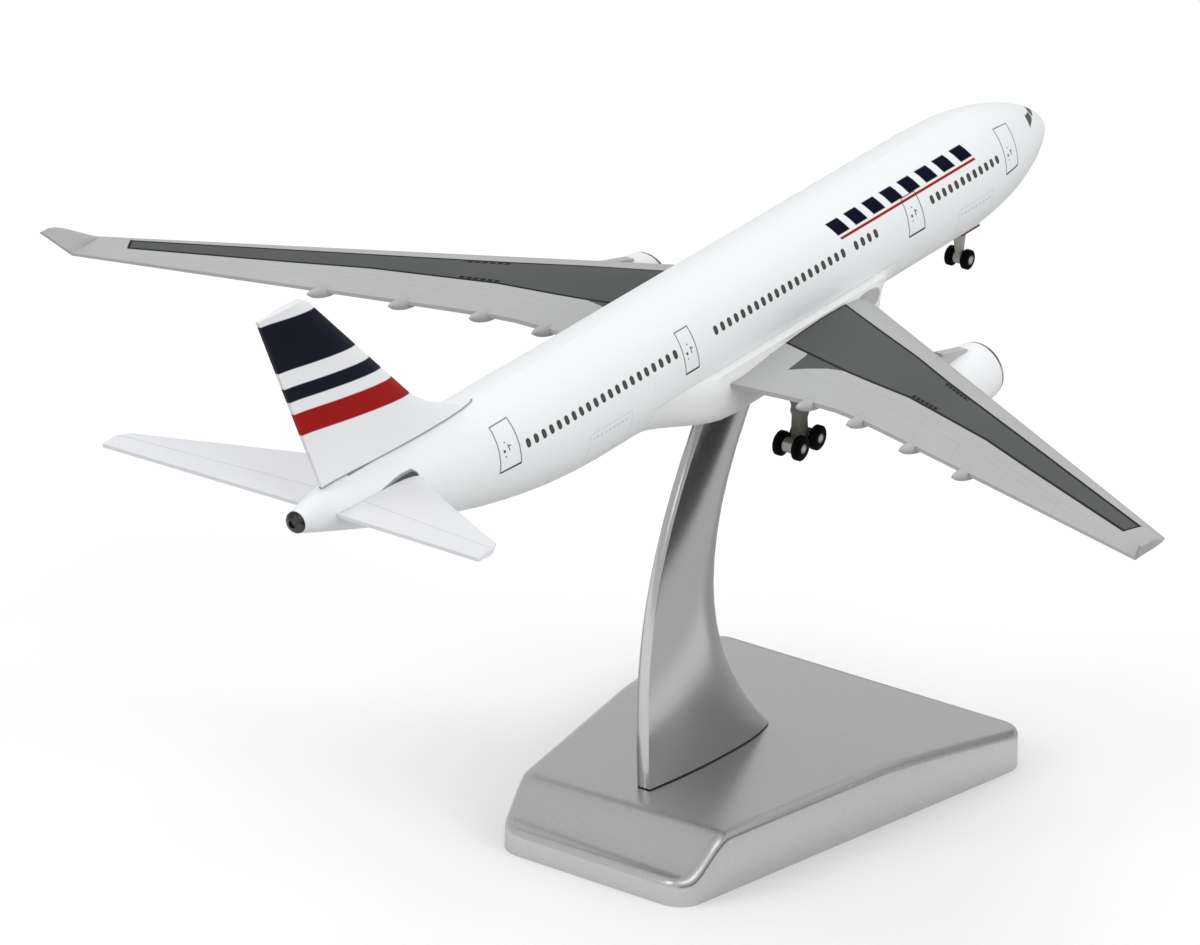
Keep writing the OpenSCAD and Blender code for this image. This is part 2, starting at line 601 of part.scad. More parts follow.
module right_wing() { color("silver") on_stand() mirrored(true) wing(); }

// Fin: rings from the tenon's foot to the top
function fin_le(h) = fin_le_root + h * tan(fin_le_sweep) - dorsal_len * pow(clamp01(1 - h / dorsal_h), 2.2);
function fin_te(h) = fin_te_root + h * tan(fin_te_sweep);
function fin_outline(h, trim) = let (le = fin_le(h) + trim, c = fin_te(h) - le,
    t = lerp(fin_root_t, fin_tip_t, h / fin_h))
    [for (k = [for (i = [0:aero_steps]) i, for (i = [aero_steps:-1:1]) -i])
        let (u = aero_u(abs(k))) [le + c * u, sign(k) * aero_half(u, t, tail_edge_t)]];
function fin_ring(h, trim = 0) = [for (p = fin_outline(h, trim)) [-p[0], p[1], body_r + h]];
function fin_root_ring() = [for (p = fin_outline(0, 0)) [-p[0], p[1], surface_top(p[0], p[1]) + joint_gap]];
function fin_tenon_ring(drop) = let (mid = (fin_le(0) + fin_te(0)) / 2, squeeze = fin_tenon_t / fin_root_t)
    [for (p = fin_outline(0, 0))
        let (s = fin_tenon_station + (p[0] - mid) * fin_tenon_scale, y = p[1] * squeeze)
        [-s, y, surface_top(s, y) + joint_gap / 2 - drop]];
fin_heights = [0.035, 0.08, 0.13, 0.2, 0.45, 0.7, 0.97];
fin_top_trim = 0.5;

module fin() {
    foot = [fin_tenon_ring(fin_tenon_depth), fin_tenon_ring(0), fin_root_ring()];
    blade = [for (u = fin_heights) fin_ring(fin_h * u)];
    color("white") on_stand() skin(concat(foot, blade, [fin_ring(fin_h, fin_top_trim)]));
}

// Stabilizer: rings from the tenon's foot to the tip
stabilizer_root_y = 2.4;
stabilizer_clear_y = 3.4;
function stabilizer_le(y) = stabilizer_le_root + (y - stabilizer_root_y) * tan(stabilizer_le_sweep);
function stabilizer_te(y) = stabilizer_te_root + (y - stabilizer_root_y) * tan(stabilizer_te_sweep);
function stabilizer_outline(y, trim) = let (le = stabilizer_le(y) + trim, c = stabilizer_te(y) - le,
    reach = stabilizer_reach - stabilizer_root_y,
    t = lerp(stabilizer_root_t, stabilizer_tip_t, clamp01((y - stabilizer_root_y) / reach)),
    z = stabilizer_z + (y - stabilizer_root_y) * tan(stabilizer_dihedral))
    [for (k = [for (i = [0:aero_steps]) i, for (i = [aero_steps:-1:1]) -i])
        let (u = aero_u(abs(k))) [le + c * u, z + sign(k) * aero_half(u, t, tail_edge_t)]];
function stabilizer_ring(y, trim = 0) = [for (p = stabilizer_outline(y, trim)) [-p[0], y, p[1]]];
function stabilizer_root_ring() = [for (p = stabilizer_outline(stabilizer_root_y, 0))
    [-p[0], surface_y(p[0], p[1]) + joint_gap, p[1]]];
stabilizer_tenon_scale = 0.36;
stabilizer_tenon_squeeze = 0.6;
stabilizer_tenon_station = stabilizer_le_root + 0.42 * stabilizer_root_chord;
function stabilizer_tenon_ring(drop) = let (mid = stabilizer_le_root + stabilizer_root_chord / 2)
    [for (p = stabilizer_outline(stabilizer_root_y, 0))
        let (s = stabilizer_tenon_station + (p[0] - mid) * stabilizer_tenon_scale,
            z = stabilizer_z + (p[1] - stabilizer_z) * stabilizer_tenon_squeeze)
        [-s, surface_y(s, z) + joint_gap / 2 - drop, z]];
stabilizer_tip_trim = 0.8;

module stabilizer() {
    foot = [stabilizer_tenon_ring(stabilizer_tenon_depth), stabilizer_tenon_ring(0), stabilizer_root_ring()];
    blade = [for (u = [0, 0.5, 0.96]) stabilizer_ring(lerp(stabilizer_clear_y, stabilizer_reach, u))];
    color("white") skin(concat(foot, blade, [stabilizer_ring(stabilizer_reach, stabilizer_tip_trim)]));
}
module stabilizer_pocket() {
    w = stabilizer_tenon_scale * stabilizer_root_chord;
    t = stabilizer_tenon_squeeze * stabilizer_root_t;
    rear = stabilizer_tenon_station + w / 2;
    bottom = surface_y(rear, stabilizer_z + t / 2) - stabilizer_tenon_depth - tenon_gap;
    translate([-rear - tenon_gap, bottom, stabilizer_z - t / 2 - tenon_gap])
        cube([w + 2 * tenon_gap, body_r, t + 2 * tenon_gap]);
}
module left_stabilizer() { on_stand() stabilizer(); }
module right_stabilizer() { on_stand() mirrored(true) stabilizer(); }

// Engines: round parts by their distance behind the inlet
engine_z = wing_z(engine_y) - engine_drop;
inlet_station = wing_le(engine_y) - engine_lead;
nacelle_r = nacelle_d / 2;
nacelle_belt = 0.38 * nacelle_len;
duct_r = inlet_d / 2 - nacelle_wall;
nacelle_steps = 8;
function nacelle_outer(h) = h < nacelle_belt
    ? nacelle_r - (nacelle_r - inlet_d / 2) * pow(1 - h / nacelle_belt, 2)
    : nacelle_r - (nacelle_r - nacelle_exit_d / 2)
        * pow((h - nacelle_belt) / (nacelle_len - nacelle_belt), 1.7);
function nacelle_inner(h) = min(duct_r, nacelle_outer(h) - nacelle_wall);
function nacelle_side(from, grow) = [for (i = [0:nacelle_steps])
    let (h = lerp(from, nacelle_len, i / nacelle_steps)) [nacelle_outer(h) + grow, h]];
function nacelle_bore() = [for (i = [nacelle_steps:-1:0])
    let (h = lerp(inlet_ring_len, nacelle_len, i / nacelle_steps)) [nacelle_inner(h), h]];

module engine_part(right) {
    on_stand() mirrored(right) along_aft(inlet_station, engine_y, engine_z) children();
}
module nacelle() {
    color("white") rotate_extrude() polygon(concat(nacelle_side(inlet_ring_len, 0), nacelle_bore()));
}
module inlet_ring() {
    mid_r = (inlet_d / 2 + duct_r) / 2;
    lip = [for (a = [0:30:180]) [mid_r + cos(a) * nacelle_wall / 2, nacelle_wall / 2 * (1 - sin(a))]];
    color("gray") rotate_extrude()
        polygon(concat([[nacelle_outer(inlet_ring_len), inlet_ring_len]], lip, [[duct_r, inlet_ring_len]]));
}
module fan() {
    rim_r = duct_r - joint_gap;
    spinner = [[0, fan_depth - spinner_d / 2], [spinner_d / 4, fan_depth - 0.3 * spinner_d]];
    color("dimgray") rotate_extrude() polygon(concat([[0, fan_depth + fan_t]], spinner,
        [[spinner_d / 2, fan_depth], [rim_r, fan_depth], [rim_r, fan_depth + fan_t]]));
}
core_seat_len = 0.8;
core_tip_r = 0.35;
module core_nozzle() {
    core_r = core_d / 2;
    seat = fan_depth + fan_t + joint_gap;
    step_h = nacelle_len + core_tail / 2;
    color("dimgray") rotate_extrude() polygon([
        [0, seat], [duct_r - joint_gap, seat], [duct_r - joint_gap, seat + core_seat_len],
        [core_r, seat + 1.5 * core_seat_len], [core_r, nacelle_len - core_seat_len],
        [0.84 * core_r, step_h], [0.68 * core_r, step_h],
        [core_tip_r, nacelle_len + core_tail], [0, nacelle_len + core_tail]]);
}
module left_nacelle() { engine_part(false) nacelle(); }
module right_nacelle() { engine_part(true) nacelle(); }
module left_inlet_ring() { engine_part(false) inlet_ring(); }
module right_inlet_ring() { engine_part(true) inlet_ring(); }
module left_fan() { engine_part(false) fan(); }
module right_fan() { engine_part(true) fan(); }
module left_core_nozzle() { engine_part(false) core_nozzle(); }
module right_core_nozzle() { engine_part(true) core_nozzle(); }

// Pylon: its upper edge follows the wing's lower side, its lower edge is cut to the nacelle.
pylon_marks = [0.02, 0.08, 0.16, 0.3, 0.5, 0.75, 1];
pylon_sink = 0.6;
pylon_nose_h = 0.15;
pylon_rear_h = 0.2;
function pylon_under(s) = min([for (k = [-1, 0, 1]) wing_lower(s, engine_y + k * pylon_t / 2)]) - joint_gap;
module pylon() {
    le = wing_le(engine_y - pylon_t / 2);
    nose_s = inlet_station + pylon_start;
    top_z = engine_z + nacelle_r;
    exit_z = engine_z + nacelle_exit_d / 2;
    nacelle_rear = inlet_station + nacelle_len;
    under = [for (u = pylon_marks) [le + u * pylon_reach, pylon_under(le + u * pylon_reach)]];
    rear = under[len(under) - 1];
    outline = concat(
        [[nose_s, top_z - pylon_sink], [nose_s, top_z + pylon_nose_h]],
        [[le - 2 * joint_gap, wing_z(engine_y)], [le - joint_gap, under[0][1]]],
        under,
        [[rear[0], rear[1] - pylon_rear_h]],
        [[nacelle_rear, exit_z - pylon_nose_h], [nacelle_rear - 1, exit_z]]);
    cut_r = nacelle_exit_d / 2 + joint_gap;
    cut_end = nacelle_len + joint_gap;
    color("silver") difference() {
        side_plate(0, engine_y, pylon_t) polygon([for (p = outline) [-p[0], p[1]]]);
        along_aft(inlet_station, engine_y, engine_z) rotate_extrude()
            polygon(concat([[0, 0]], nacelle_side(0, joint_gap), [[cut_r, cut_end], [0, cut_end]]));
    }
}
module left_pylon() { on_stand() pylon(); }
module right_pylon() { on_stand() mirrored(true) pylon(); }

// Wheelset: an axle through a sleeve, with a hub and a tyre pressed on at each end
module axle(station, y, z, gap) {
    color("darkgray") along_y(station, y, z) cylinder(d = axle_d, h = gap + wheel_w, center = true);
}
module wheel_pair(station, y, z, gap) {
    for (side = [-1, 1]) along_y(station, y + side * gap / 2, z) children();
}
module hubs(station, y, z, gap) {
    color("gray") wheel_pair(station, y, z, gap) difference() {
        cylinder(d = hub_d, h = wheel_w, center = true);
        cylinder(d = axle_d, h = 2 * wheel_w, center = true);
    }
}
module tyres(station, y, z, gap, d) {
    half = wheel_w / 2;
    tread = 0.55 * half;
    chamfer = half - tread;
    wall = [[d / 2 - 1.6 * chamfer, half], [d / 2 - 0.5 * chamfer, tread + 0.35 * chamfer], [d / 2, tread]];
    color("black") wheel_pair(station, y, z, gap) rotate_extrude() polygon(concat(
        [[hub_d / 2, half]], wall, [for (i = [2:-1:0]) [wall[i][0], -wall[i][1]]], [[hub_d / 2, -half]]));
}
module sleeve(station, y, z, d, gap) {
    along_y(station, y, z) cylinder(d = d, h = gap - wheel_w - 2 * wheel_side_gap, center = true);
}
module side_plate(station, y, t) {
    translate([-station, y + t / 2, 0]) rotate([90, 0, 0]) linear_extrude(t) children();
}
module axle_bore(station, y, z) {
    along_y(station, y, z) cylinder(d = axle_d + 2 * running_gap, h = 4 * sleeve_d, center = true);
}

// Nose gear
nose_axle_z = -nose_axle_drop;
nose_sleeve_d = 0.85 * sleeve_d;
nose_web = [[-0.4, 0.1], [0.4, 0.1], [0.9, 0.6], [1.7, 0.95], [-1.1, 0.95]];
module nose_leg() {
    spigot_top = keel_z(nose_leg_station) + 0.4 * fuselage_wall;
    shoulder = surface_bottom(nose_leg_station - nose_leg_d / 2, 0) - 4 * joint_gap;
    color("lightgray") on_stand() difference() {
        union() {
            translate([-nose_leg_station, 0, nose_axle_z]) {
                cylinder(d = nose_leg_d, h = shoulder - nose_axle_z);
                cylinder(d = nose_spigot_d, h = spigot_top - nose_axle_z);
            }
            sleeve(nose_leg_station, 0, nose_axle_z, nose_sleeve_d, nose_wheel_gap);
            side_plate(nose_leg_station, 0, nose_leg_d / 2)
                polygon([for (p = nose_web) [p[0] * nose_leg_d, lerp(nose_axle_z, shoulder, p[1])]]);
        }
        axle_bore(nose_leg_station, 0, nose_axle_z);
    }
}
module nose_doors() {
    steps = 6;
    outer_y = nose_door_y + nose_door_t / 2;
    upper = [for (i = [0:steps]) let (s = nose_leg_station + nose_door_len * (i / steps - 0.5))
        [-s, surface_bottom(s, outer_y) - 4 * joint_gap]];
    low = surface_bottom(nose_leg_station, nose_door_y) - nose_door_h;
    color("lightgray") on_stand() for (side = [-1, 1]) side_plate(0, side * nose_door_y, nose_door_t)
        polygon(concat(upper, [[upper[steps][0], low], [upper[0][0], low]]));
}
module nose_axle() { on_stand() axle(nose_leg_station, 0, nose_axle_z, nose_wheel_gap); }
module nose_hubs() { on_stand() hubs(nose_leg_station, 0, nose_axle_z, nose_wheel_gap); }
module nose_tyres() { on_stand() tyres(nose_leg_station, 0, nose_axle_z, nose_wheel_gap, nose_wheel_d); }

// Main gear: a leg with its brace, and a bogie beam between two sleeves
main_axle_z = -main_axle_drop;
fore_station = main_leg_station - bogie_len / 2;
aft_station = main_leg_station + bogie_len / 2;
leg_front = [[0.68, 1], [0.9, 0.8], [0.9, 0.58], [0.5, 0.4], [0.55, 0]];
leg_back = [[-0.5, 0], [-0.35, 0.5], [-0.5, 0.6], [-0.3, 0.75], [-0.42, 1]];
leg_outline = concat(leg_front, leg_back);
brace_angle = 24;
brace_share = 0.44;
module main_leg() {
    seat = wing_lower(main_leg_station, main_leg_y);
    top = wing_lower(main_leg_station + 0.6 * main_leg_w, main_leg_y) - 6.5 * joint_gap;
    brace_len = brace_share * (top - main_axle_z);
    brace_w = main_leg_t / 2;
    color("darkgray") difference() {
        union() {
            side_plate(main_leg_station, main_leg_y, main_leg_t)
                polygon([for (p = leg_outline) [p[0] * main_leg_w, lerp(main_axle_z, top, p[1])]]);
            translate([-main_leg_station, main_leg_y, top - leg_spigot_h])
                cylinder(d = leg_spigot_d, h = seat + 2 * leg_spigot_h - top);
            for (s = [fore_station, aft_station])
                sleeve(s, main_leg_y, main_axle_z, sleeve_d, main_wheel_gap);
            translate([-main_leg_station, main_leg_y, main_axle_z])
                cube([bogie_len, main_leg_t, 0.6 * sleeve_d], center = true);
            translate([-main_leg_station, main_leg_y - main_leg_t / 2, top - brace_len])
                rotate([brace_angle, 0, 0]) translate([-brace_w / 2, 0, 0])
                    cube([brace_w, brace_w, brace_len]);
        }
        for (s = [fore_station, aft_station]) axle_bore(s, main_leg_y, main_axle_z);
    }
}
module main_axle(station) { axle(station, main_leg_y, main_axle_z, main_wheel_gap); }
module main_hubs(station) { hubs(station, main_leg_y, main_axle_z, main_wheel_gap); }
module main_tyres(station) { tyres(station, main_leg_y, main_axle_z, main_wheel_gap, main_wheel_d); }
module left_main_leg() { on_stand() main_leg(); }
module left_fore_axle() { on_stand() main_axle(fore_station); }
module left_fore_hubs() { on_stand() main_hubs(fore_station); }
module left_fore_tyres() { on_stand() main_tyres(fore_station); }
module left_aft_axle() { on_stand() main_axle(aft_station); }
module left_aft_hubs() { on_stand() main_hubs(aft_station); }
module left_aft_tyres() { on_stand() main_tyres(aft_station); }
module right_main_leg() { on_stand() mirrored(true) main_leg(); }
module right_fore_axle() { on_stand() mirrored(true) main_axle(fore_station); }
module right_fore_hubs() { on_stand() mirrored(true) main_hubs(fore_station); }
module right_fore_tyres() { on_stand() mirrored(true) main_tyres(fore_station); }
module right_aft_axle() { on_stand() mirrored(true) main_axle(aft_station); }
module right_aft_hubs() { on_stand() mirrored(true) main_hubs(aft_station); }
module right_aft_tyres() { on_stand() mirrored(true) main_tyres(aft_station); }

// Stand base: plan and height by distance from its centre
base_end = base_len / 2;
base_end_r = 0.8;
base_slope_start = -base_end + base_lip_len;
function base_half(x) = lerp(base_rear_w, base_front_w, (x + base_end) / base_len) / 2
    - corner_drop(base_end + x, base_rear_corner_r) - corner_drop(base_end - x, base_front_corner_r);
function base_top(x) = lerp(base_lip_h, base_h, smooth((x - base_slope_start) / base_rear_slope))
    - (base_h - base_front_h) * pow(clamp01((x - base_break_x) / (base_end - base_break_x)), 1.2)
    - corner_drop(base_end - abs(x), base_end_r);
base_cavity_rear = base_slope_start + base_rear_slope;
base_cavity_front = base_end - base_front_corner_r;
function base_ring(x) = let (w = base_half(x), top = base_top(x),
    shoulder = [for (a = [0:22.5:90])
        [w - base_shoulder_w * (1 - cos(a)), top - base_shoulder_h * (1 - sin(a))]])
    concat([[x, -w, 0]], [for (p = shoulder) [x, -p[0], p[1]]],
        [for (i = [len(shoulder) - 1:-1:0]) [x, shoulder[i][0], shoulder[i][1]]], [[x, w, 0]]);
function cavity_ring(x) = let (y = base_half(x) - base_wall, z = base_top(x) - base_wall)
    [[x, y, -1], [x, y, z], [x, -y, z], [x, -y, -1]];
function round_steps(r, n) = [for (i = [0:n - 1]) r * (1 - cos(90 * i / n))];
base_rear_steps = concat(round_steps(base_rear_corner_r, 5), round_steps(base_end_r, 3),
    [for (i = [0:8]) base_lip_len + base_rear_slope * i / 9]);
base_front_steps = concat(round_steps(base_front_corner_r, 7), round_steps(base_end_r, 3));
base_rear_xs = sorted([for (d = base_rear_steps) d - base_end]);
base_mid_xs = concat([base_cavity_rear], between(base_cavity_rear, base_break_x, 3),
    between(base_break_x, base_cavity_front, 5));
base_front_xs = sorted([for (d = base_front_steps) base_end - d]);

module stand_base() {
    color("silver") difference() {
        skin([for (x = concat(base_rear_xs, base_mid_xs, base_front_xs)) base_ring(x)]);
        skin([for (x = base_mid_xs) cavity_ring(x)]);
        for (x = [screw_rear_x, screw_front_x])
            translate([-x, 0, -1]) cylinder(d = screw_d + 4 * tenon_gap, h = base_h + 2);
    }
}
module base_plate() {
    xs = [for (x = base_mid_xs) max(base_cavity_rear + tenon_gap, min(base_cavity_front - tenon_gap, x))];
    side = [for (x = xs) [x, base_half(x) - base_wall - tenon_gap]];
    color("dimgray") linear_extrude(plate_t)
        polygon(concat(side, [for (i = [len(side) - 1:-1:0]) [side[i][0], -side[i][1]]]));
}

// Stand arm: a blade between two curved edges, with a narrow flat along its back
function seat_z(x) = arm_h + (x + peg_back) * tan(pitch);
arm_rise = arm_h - base_h;
arm_low_z = base_h + 0.25 * arm_rise;
arm_high_z = base_h + 0.57 * arm_rise;
arm_back_edge = [[-arm_foot_back, base_h + joint_gap], [-arm_foot_back - 0.3 * arm_bulge, arm_low_z],
    [-arm_foot_back - arm_bulge, arm_high_z], [-arm_seat_back, seat_z(-arm_seat_back)]];
arm_front_edge = [[arm_foot_front, base_h + joint_gap], [-arm_hollow + arm_lean, arm_low_z],
    [-arm_hollow - arm_lean, arm_high_z], [arm_seat_front, seat_z(arm_seat_front)]];
arm_steps = 16;
arm_rings = 16;
arm_widest = 0.7;
function arm_fullness(u) = u < arm_widest
    ? 1 - pow(1 - u / arm_widest, 2)
    : pow(1 - pow((u - arm_widest) / (1 - arm_widest), 2), 0.6);
function arm_ring(t) = let (b = bezier(arm_back_edge, t), f = bezier(arm_front_edge, t),
    edge = lerp(arm_edge_foot_w, arm_edge_seat_w, t) / 2, swell = lerp(arm_foot_t, arm_seat_t, t) / 2 - edge)
    [for (side = [1, -1]) for (i = [0:arm_steps])
        let (k = side > 0 ? i : arm_steps - i, u = (1 - cos(180 * k / arm_steps)) / 2, p = lerp(b, f, u))
        [p[0], side * (edge + swell * arm_fullness(u)), p[1]]];

module stand_arm() {
    color("silver") difference() {
        skin([for (i = [0:arm_rings]) arm_ring(i / arm_rings)]);
        peg_axis() translate([0, 0, -peg_root]) cylinder(d = peg_d, h = peg_root + 1);
        for (x = [screw_rear_x, screw_front_x])
            translate([-x, 0, base_h - 1]) cylinder(d = screw_d, h = screw_grip + 1.5);
    }
}
module arm_peg() {
    color("gainsboro") peg_axis() translate([0, 0, -peg_root]) cylinder(d = peg_d, h = peg_root + peg_len);
}
module arm_screws() {
    seat = base_h - base_wall - joint_gap;
    socket_across = 0.45 * screw_head_d;
    color("dimgray") for (x = [screw_rear_x, screw_front_x]) translate([-x, 0, seat]) difference() {
        union() {
            translate([0, 0, -screw_head_h]) cylinder(d = screw_head_d, h = screw_head_h);
            cylinder(d = screw_d, h = base_wall + joint_gap + screw_grip);
        }
        translate([0, 0, -screw_head_h - 0.1]) cylinder(d = socket_across, h = 0.6 * screw_head_h, $fn = 6);
    }
}

stand_base();
base_plate();
stand_arm();
arm_screws();
arm_peg();
fuselage_left();
fuselage_right();
belly_fairing();
belly_socket();
tail_exhaust();
fin();
left_stabilizer();
right_stabilizer();
left_wing();
right_wing();
left_nacelle();
left_inlet_ring();
left_fan();
left_core_nozzle();
left_pylon();
right_nacelle();
right_inlet_ring();
right_fan();
right_core_nozzle();
right_pylon();
nose_leg();
nose_doors();
nose_axle();
nose_hubs();
nose_tyres();
left_main_leg();
left_fore_axle();
left_fore_hubs();
left_fore_tyres();
left_aft_axle();
left_aft_hubs();
left_aft_tyres();
right_main_leg();
right_fore_axle();
right_fore_hubs();
right_fore_tyres();
right_aft_axle();
right_aft_hubs();
right_aft_tyres();
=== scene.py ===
import json
import math
import bpy
from mathutils import Matrix

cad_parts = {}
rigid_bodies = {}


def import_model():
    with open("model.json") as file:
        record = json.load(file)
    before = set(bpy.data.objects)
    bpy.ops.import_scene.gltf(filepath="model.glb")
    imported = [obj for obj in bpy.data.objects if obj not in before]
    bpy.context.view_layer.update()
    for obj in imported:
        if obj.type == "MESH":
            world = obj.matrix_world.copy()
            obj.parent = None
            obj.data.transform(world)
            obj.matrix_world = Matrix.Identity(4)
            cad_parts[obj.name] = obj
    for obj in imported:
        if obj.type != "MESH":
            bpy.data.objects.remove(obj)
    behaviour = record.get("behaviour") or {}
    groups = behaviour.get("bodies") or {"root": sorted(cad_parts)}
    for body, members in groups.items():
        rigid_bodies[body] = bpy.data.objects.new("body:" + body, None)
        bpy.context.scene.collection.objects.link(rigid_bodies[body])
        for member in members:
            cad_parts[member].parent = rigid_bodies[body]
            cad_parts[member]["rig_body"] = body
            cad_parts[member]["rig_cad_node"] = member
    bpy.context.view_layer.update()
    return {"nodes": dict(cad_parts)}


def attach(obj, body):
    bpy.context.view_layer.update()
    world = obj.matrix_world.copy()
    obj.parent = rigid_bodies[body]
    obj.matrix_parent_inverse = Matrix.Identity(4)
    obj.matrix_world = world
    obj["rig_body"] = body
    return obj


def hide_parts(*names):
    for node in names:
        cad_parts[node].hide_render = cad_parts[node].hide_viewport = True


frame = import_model()
bpy.ops.object.select_all(action="DESELECT")

# The camera of the photograph: a long lens, high behind the right wing, that looks
# forward along the fuselage. Its place and turn were measured from known points.
LENS_MM = 207.31
SENSOR_MM = 36.0
NEAREST_SEEN = 0.05
FARTHEST_SEEN = 20.0
CAMERA_PLACE = Matrix((
    (0.59313, 0.31257, -0.74194, -0.4798),
    (-0.80509, 0.23583, -0.54426, -0.3363),
    (0.00485, 0.92015, 0.39152, 0.2820),
    (0.0, 0.0, 0.0, 1.0)))
view = bpy.data.cameras.new("camera")
view.sensor_fit = "HORIZONTAL"
view.sensor_width = SENSOR_MM
view.lens = LENS_MM
view.clip_start = NEAREST_SEEN
view.clip_end = FARTHEST_SEEN
camera = bpy.data.objects.new("camera", view)
camera.matrix_world = CAMERA_PLACE
bpy.context.scene.collection.objects.link(camera)
bpy.context.scene.camera = camera
bpy.context.scene.view_settings.view_transform = "Standard"


# The sums inside a material. A Tone is one socket, and arithmetic on it adds Math
# nodes; colours go through Mix nodes, and any other node comes from its one method.
class Tone:
    def __init__(self, tree, socket):
        self.tree = tree
        self.socket = socket

    def node(self, kind, settings, sockets, out=0):
        made = self.tree.nodes.new("ShaderNode" + kind)
        for key, value in settings.items():
            setattr(made, key, value)
        for key, value in sockets.items():
            if isinstance(value, Tone):
                self.tree.links.new(value.socket, made.inputs[key])
            else:
                made.inputs[key].default_value = value
        return Tone(self.tree, made.outputs[out])

    def maths(self, operation, *terms):
        return self.node("Math", {"operation": operation}, dict(enumerate(terms)))

    def __add__(self, other):
        return self.maths("ADD", self, other)

    def __radd__(self, other):
        return self.maths("ADD", other, self)

    def __sub__(self, other):
        return self.maths("SUBTRACT", self, other)

    def __rsub__(self, other):
        return self.maths("SUBTRACT", other, self)

    def __mul__(self, other):
        return self.maths("MULTIPLY", self, other)

    def __rmul__(self, other):
        return self.maths("MULTIPLY", other, self)

    def __truediv__(self, other):
        return self.maths("DIVIDE", self, other)

    def __rtruediv__(self, other):
        return self.maths("DIVIDE", other, self)

    def __pow__(self, other):
        return self.maths("POWER", self, other)

    def __rpow__(self, other):
        return self.maths("POWER", other, self)

    def __neg__(self):
        return self.maths("MULTIPLY", self, -1.0)

    def __abs__(self):
        return self.maths("ABSOLUTE", self)

    def least(self, other):
        return self.maths("MINIMUM", self, other)

    def most(self, other):
        return self.maths("MAXIMUM", self, other)

    def share(self, low, high):
        return self.node("MapRange", {"clamp": True}, {"Value": self, "From Min": low, "From Max": high})

    def mixed(self, below, above):
        return self.node("Mix", {"data_type": "RGBA"}, {0: self, 6: below, 7: above}, out=2)

    def noise(self, scale, detail):
        return self.node("TexNoise", {}, {"Vector": self, "Scale": scale, "Detail": detail})

    def bump(self, strength, depth, relief):
        return self.node("Bump", {}, {"Strength": strength, "Distance": depth, "Height": relief})

    def feed(self, shader, socket):
        self.tree.links.new(self.socket, shader.inputs[socket])


def grey(value):
    return (value, value, value, 1.0)


def new_material(name):
    material = bpy.data.materials.new(name)
    material.use_nodes = True
    tree = material.node_tree
    shader = tree.nodes["Principled BSDF"]
    coordinates = tree.nodes.new("ShaderNodeTexCoord")
    return material, shader, Tone(tree, coordinates.outputs["Object"])


# A white studio: a pale floor that keeps the object's shadow, an even white surround,
# soft lamps above the camera's left and right, and cards that only the metal shows.
FLOOR_SIZE = 6.0
FLOOR_SEEN = 0.95
FLOOR_MOTTLE = 0.01
FLOOR_MIRRORED = 0.9
FLOOR_LIT = 0.5
SURROUND = 0.62
LAMP_AIM = (0.0, 0.0, 0.05)
NAP_SCALE = 40.0

bpy.ops.mesh.primitive_plane_add(size=FLOOR_SIZE, location=(0.0, 0.0, 0.0))
floor = bpy.context.object
floor.name = "studio_floor"
material, shader, place = new_material("studio_floor")
shown = place.noise(3.0, 2.0).mixed(grey(FLOOR_SEEN - FLOOR_MOTTLE), grey(FLOOR_SEEN + FLOOR_MOTTLE))
rays = material.node_tree.nodes.new("ShaderNodeLightPath")
camera_ray, glossy_ray, inner_ray = (
    Tone(material.node_tree, rays.outputs[kind])
    for kind in ("Is Camera Ray", "Is Glossy Ray", "Is Transmission Ray"))
lit = glossy_ray.most(inner_ray).mixed(grey(FLOOR_LIT), grey(FLOOR_MIRRORED))
camera_ray.mixed(lit, shown).feed(shader, "Base Color")
shader.inputs["Roughness"].default_value = 1.0
shader.inputs["Specular IOR Level"].default_value = 0.0
floor.data.materials.append(material)

world = bpy.data.worlds.new("studio_surround")
world.use_nodes = True
bpy.context.scene.world = world
surround = world.node_tree.nodes["Background"]
surround.inputs["Color"].default_value = grey(1.0)
surround.inputs["Strength"].default_value = SURROUND


def aimed(piece, spot, aim):
    piece.location = spot
    direction = piece.location - type(piece.location)(aim)
    piece.rotation_euler = direction.to_track_quat("Z", "Y").to_euler()


def softbox(name, spot, width, height, power, mirrored):
    lamp = bpy.data.lights.new(name, "AREA")
    lamp.shape = "RECTANGLE"
    lamp.size = width
    lamp.size_y = height
    lamp.energy = power
    made = bpy.data.objects.new(name, lamp)
    made.visible_glossy = mirrored
    aimed(made, spot, LAMP_AIM)
    bpy.context.scene.collection.objects.link(made)


softbox("key_lamp", (-0.72, 0.62, 0.80), 0.6, 0.6, 3.4, False)
softbox("top_lamp", (0.25, 0.1, 1.3), 1.0, 1.0, 4.0, False)
softbox("corner_lamp", (-0.45, -0.47, 0.95), 0.4, 0.4, 0.75, True)
softbox("fill_lamp", (0.0, -1.1, 0.5), 0.8, 0.8, 4.8, False)
softbox("strip_lamp", (-0.87, 0.22, 0.51), 0.2, 0.36, 0.5, True)


def mirrored_card(name, spot, aim, width, height, tone):
    cloth, shader, place = new_material(name)
    nap = place.noise(NAP_SCALE, 2.0)
    nap.mixed(grey(tone * 0.8), grey(tone * 1.2)).feed(shader, "Base Color")
    shader.inputs["Specular IOR Level"].default_value = 0.0
    bpy.ops.mesh.primitive_plane_add(size=1.0)
    card = bpy.context.object
    card.name = name
    card.scale = (width, height, 1.0)
    aimed(card, spot, aim)
    card.data.materials.append(cloth)
    card.visible_camera = False
    card.visible_diffuse = False
    card.visible_shadow = False


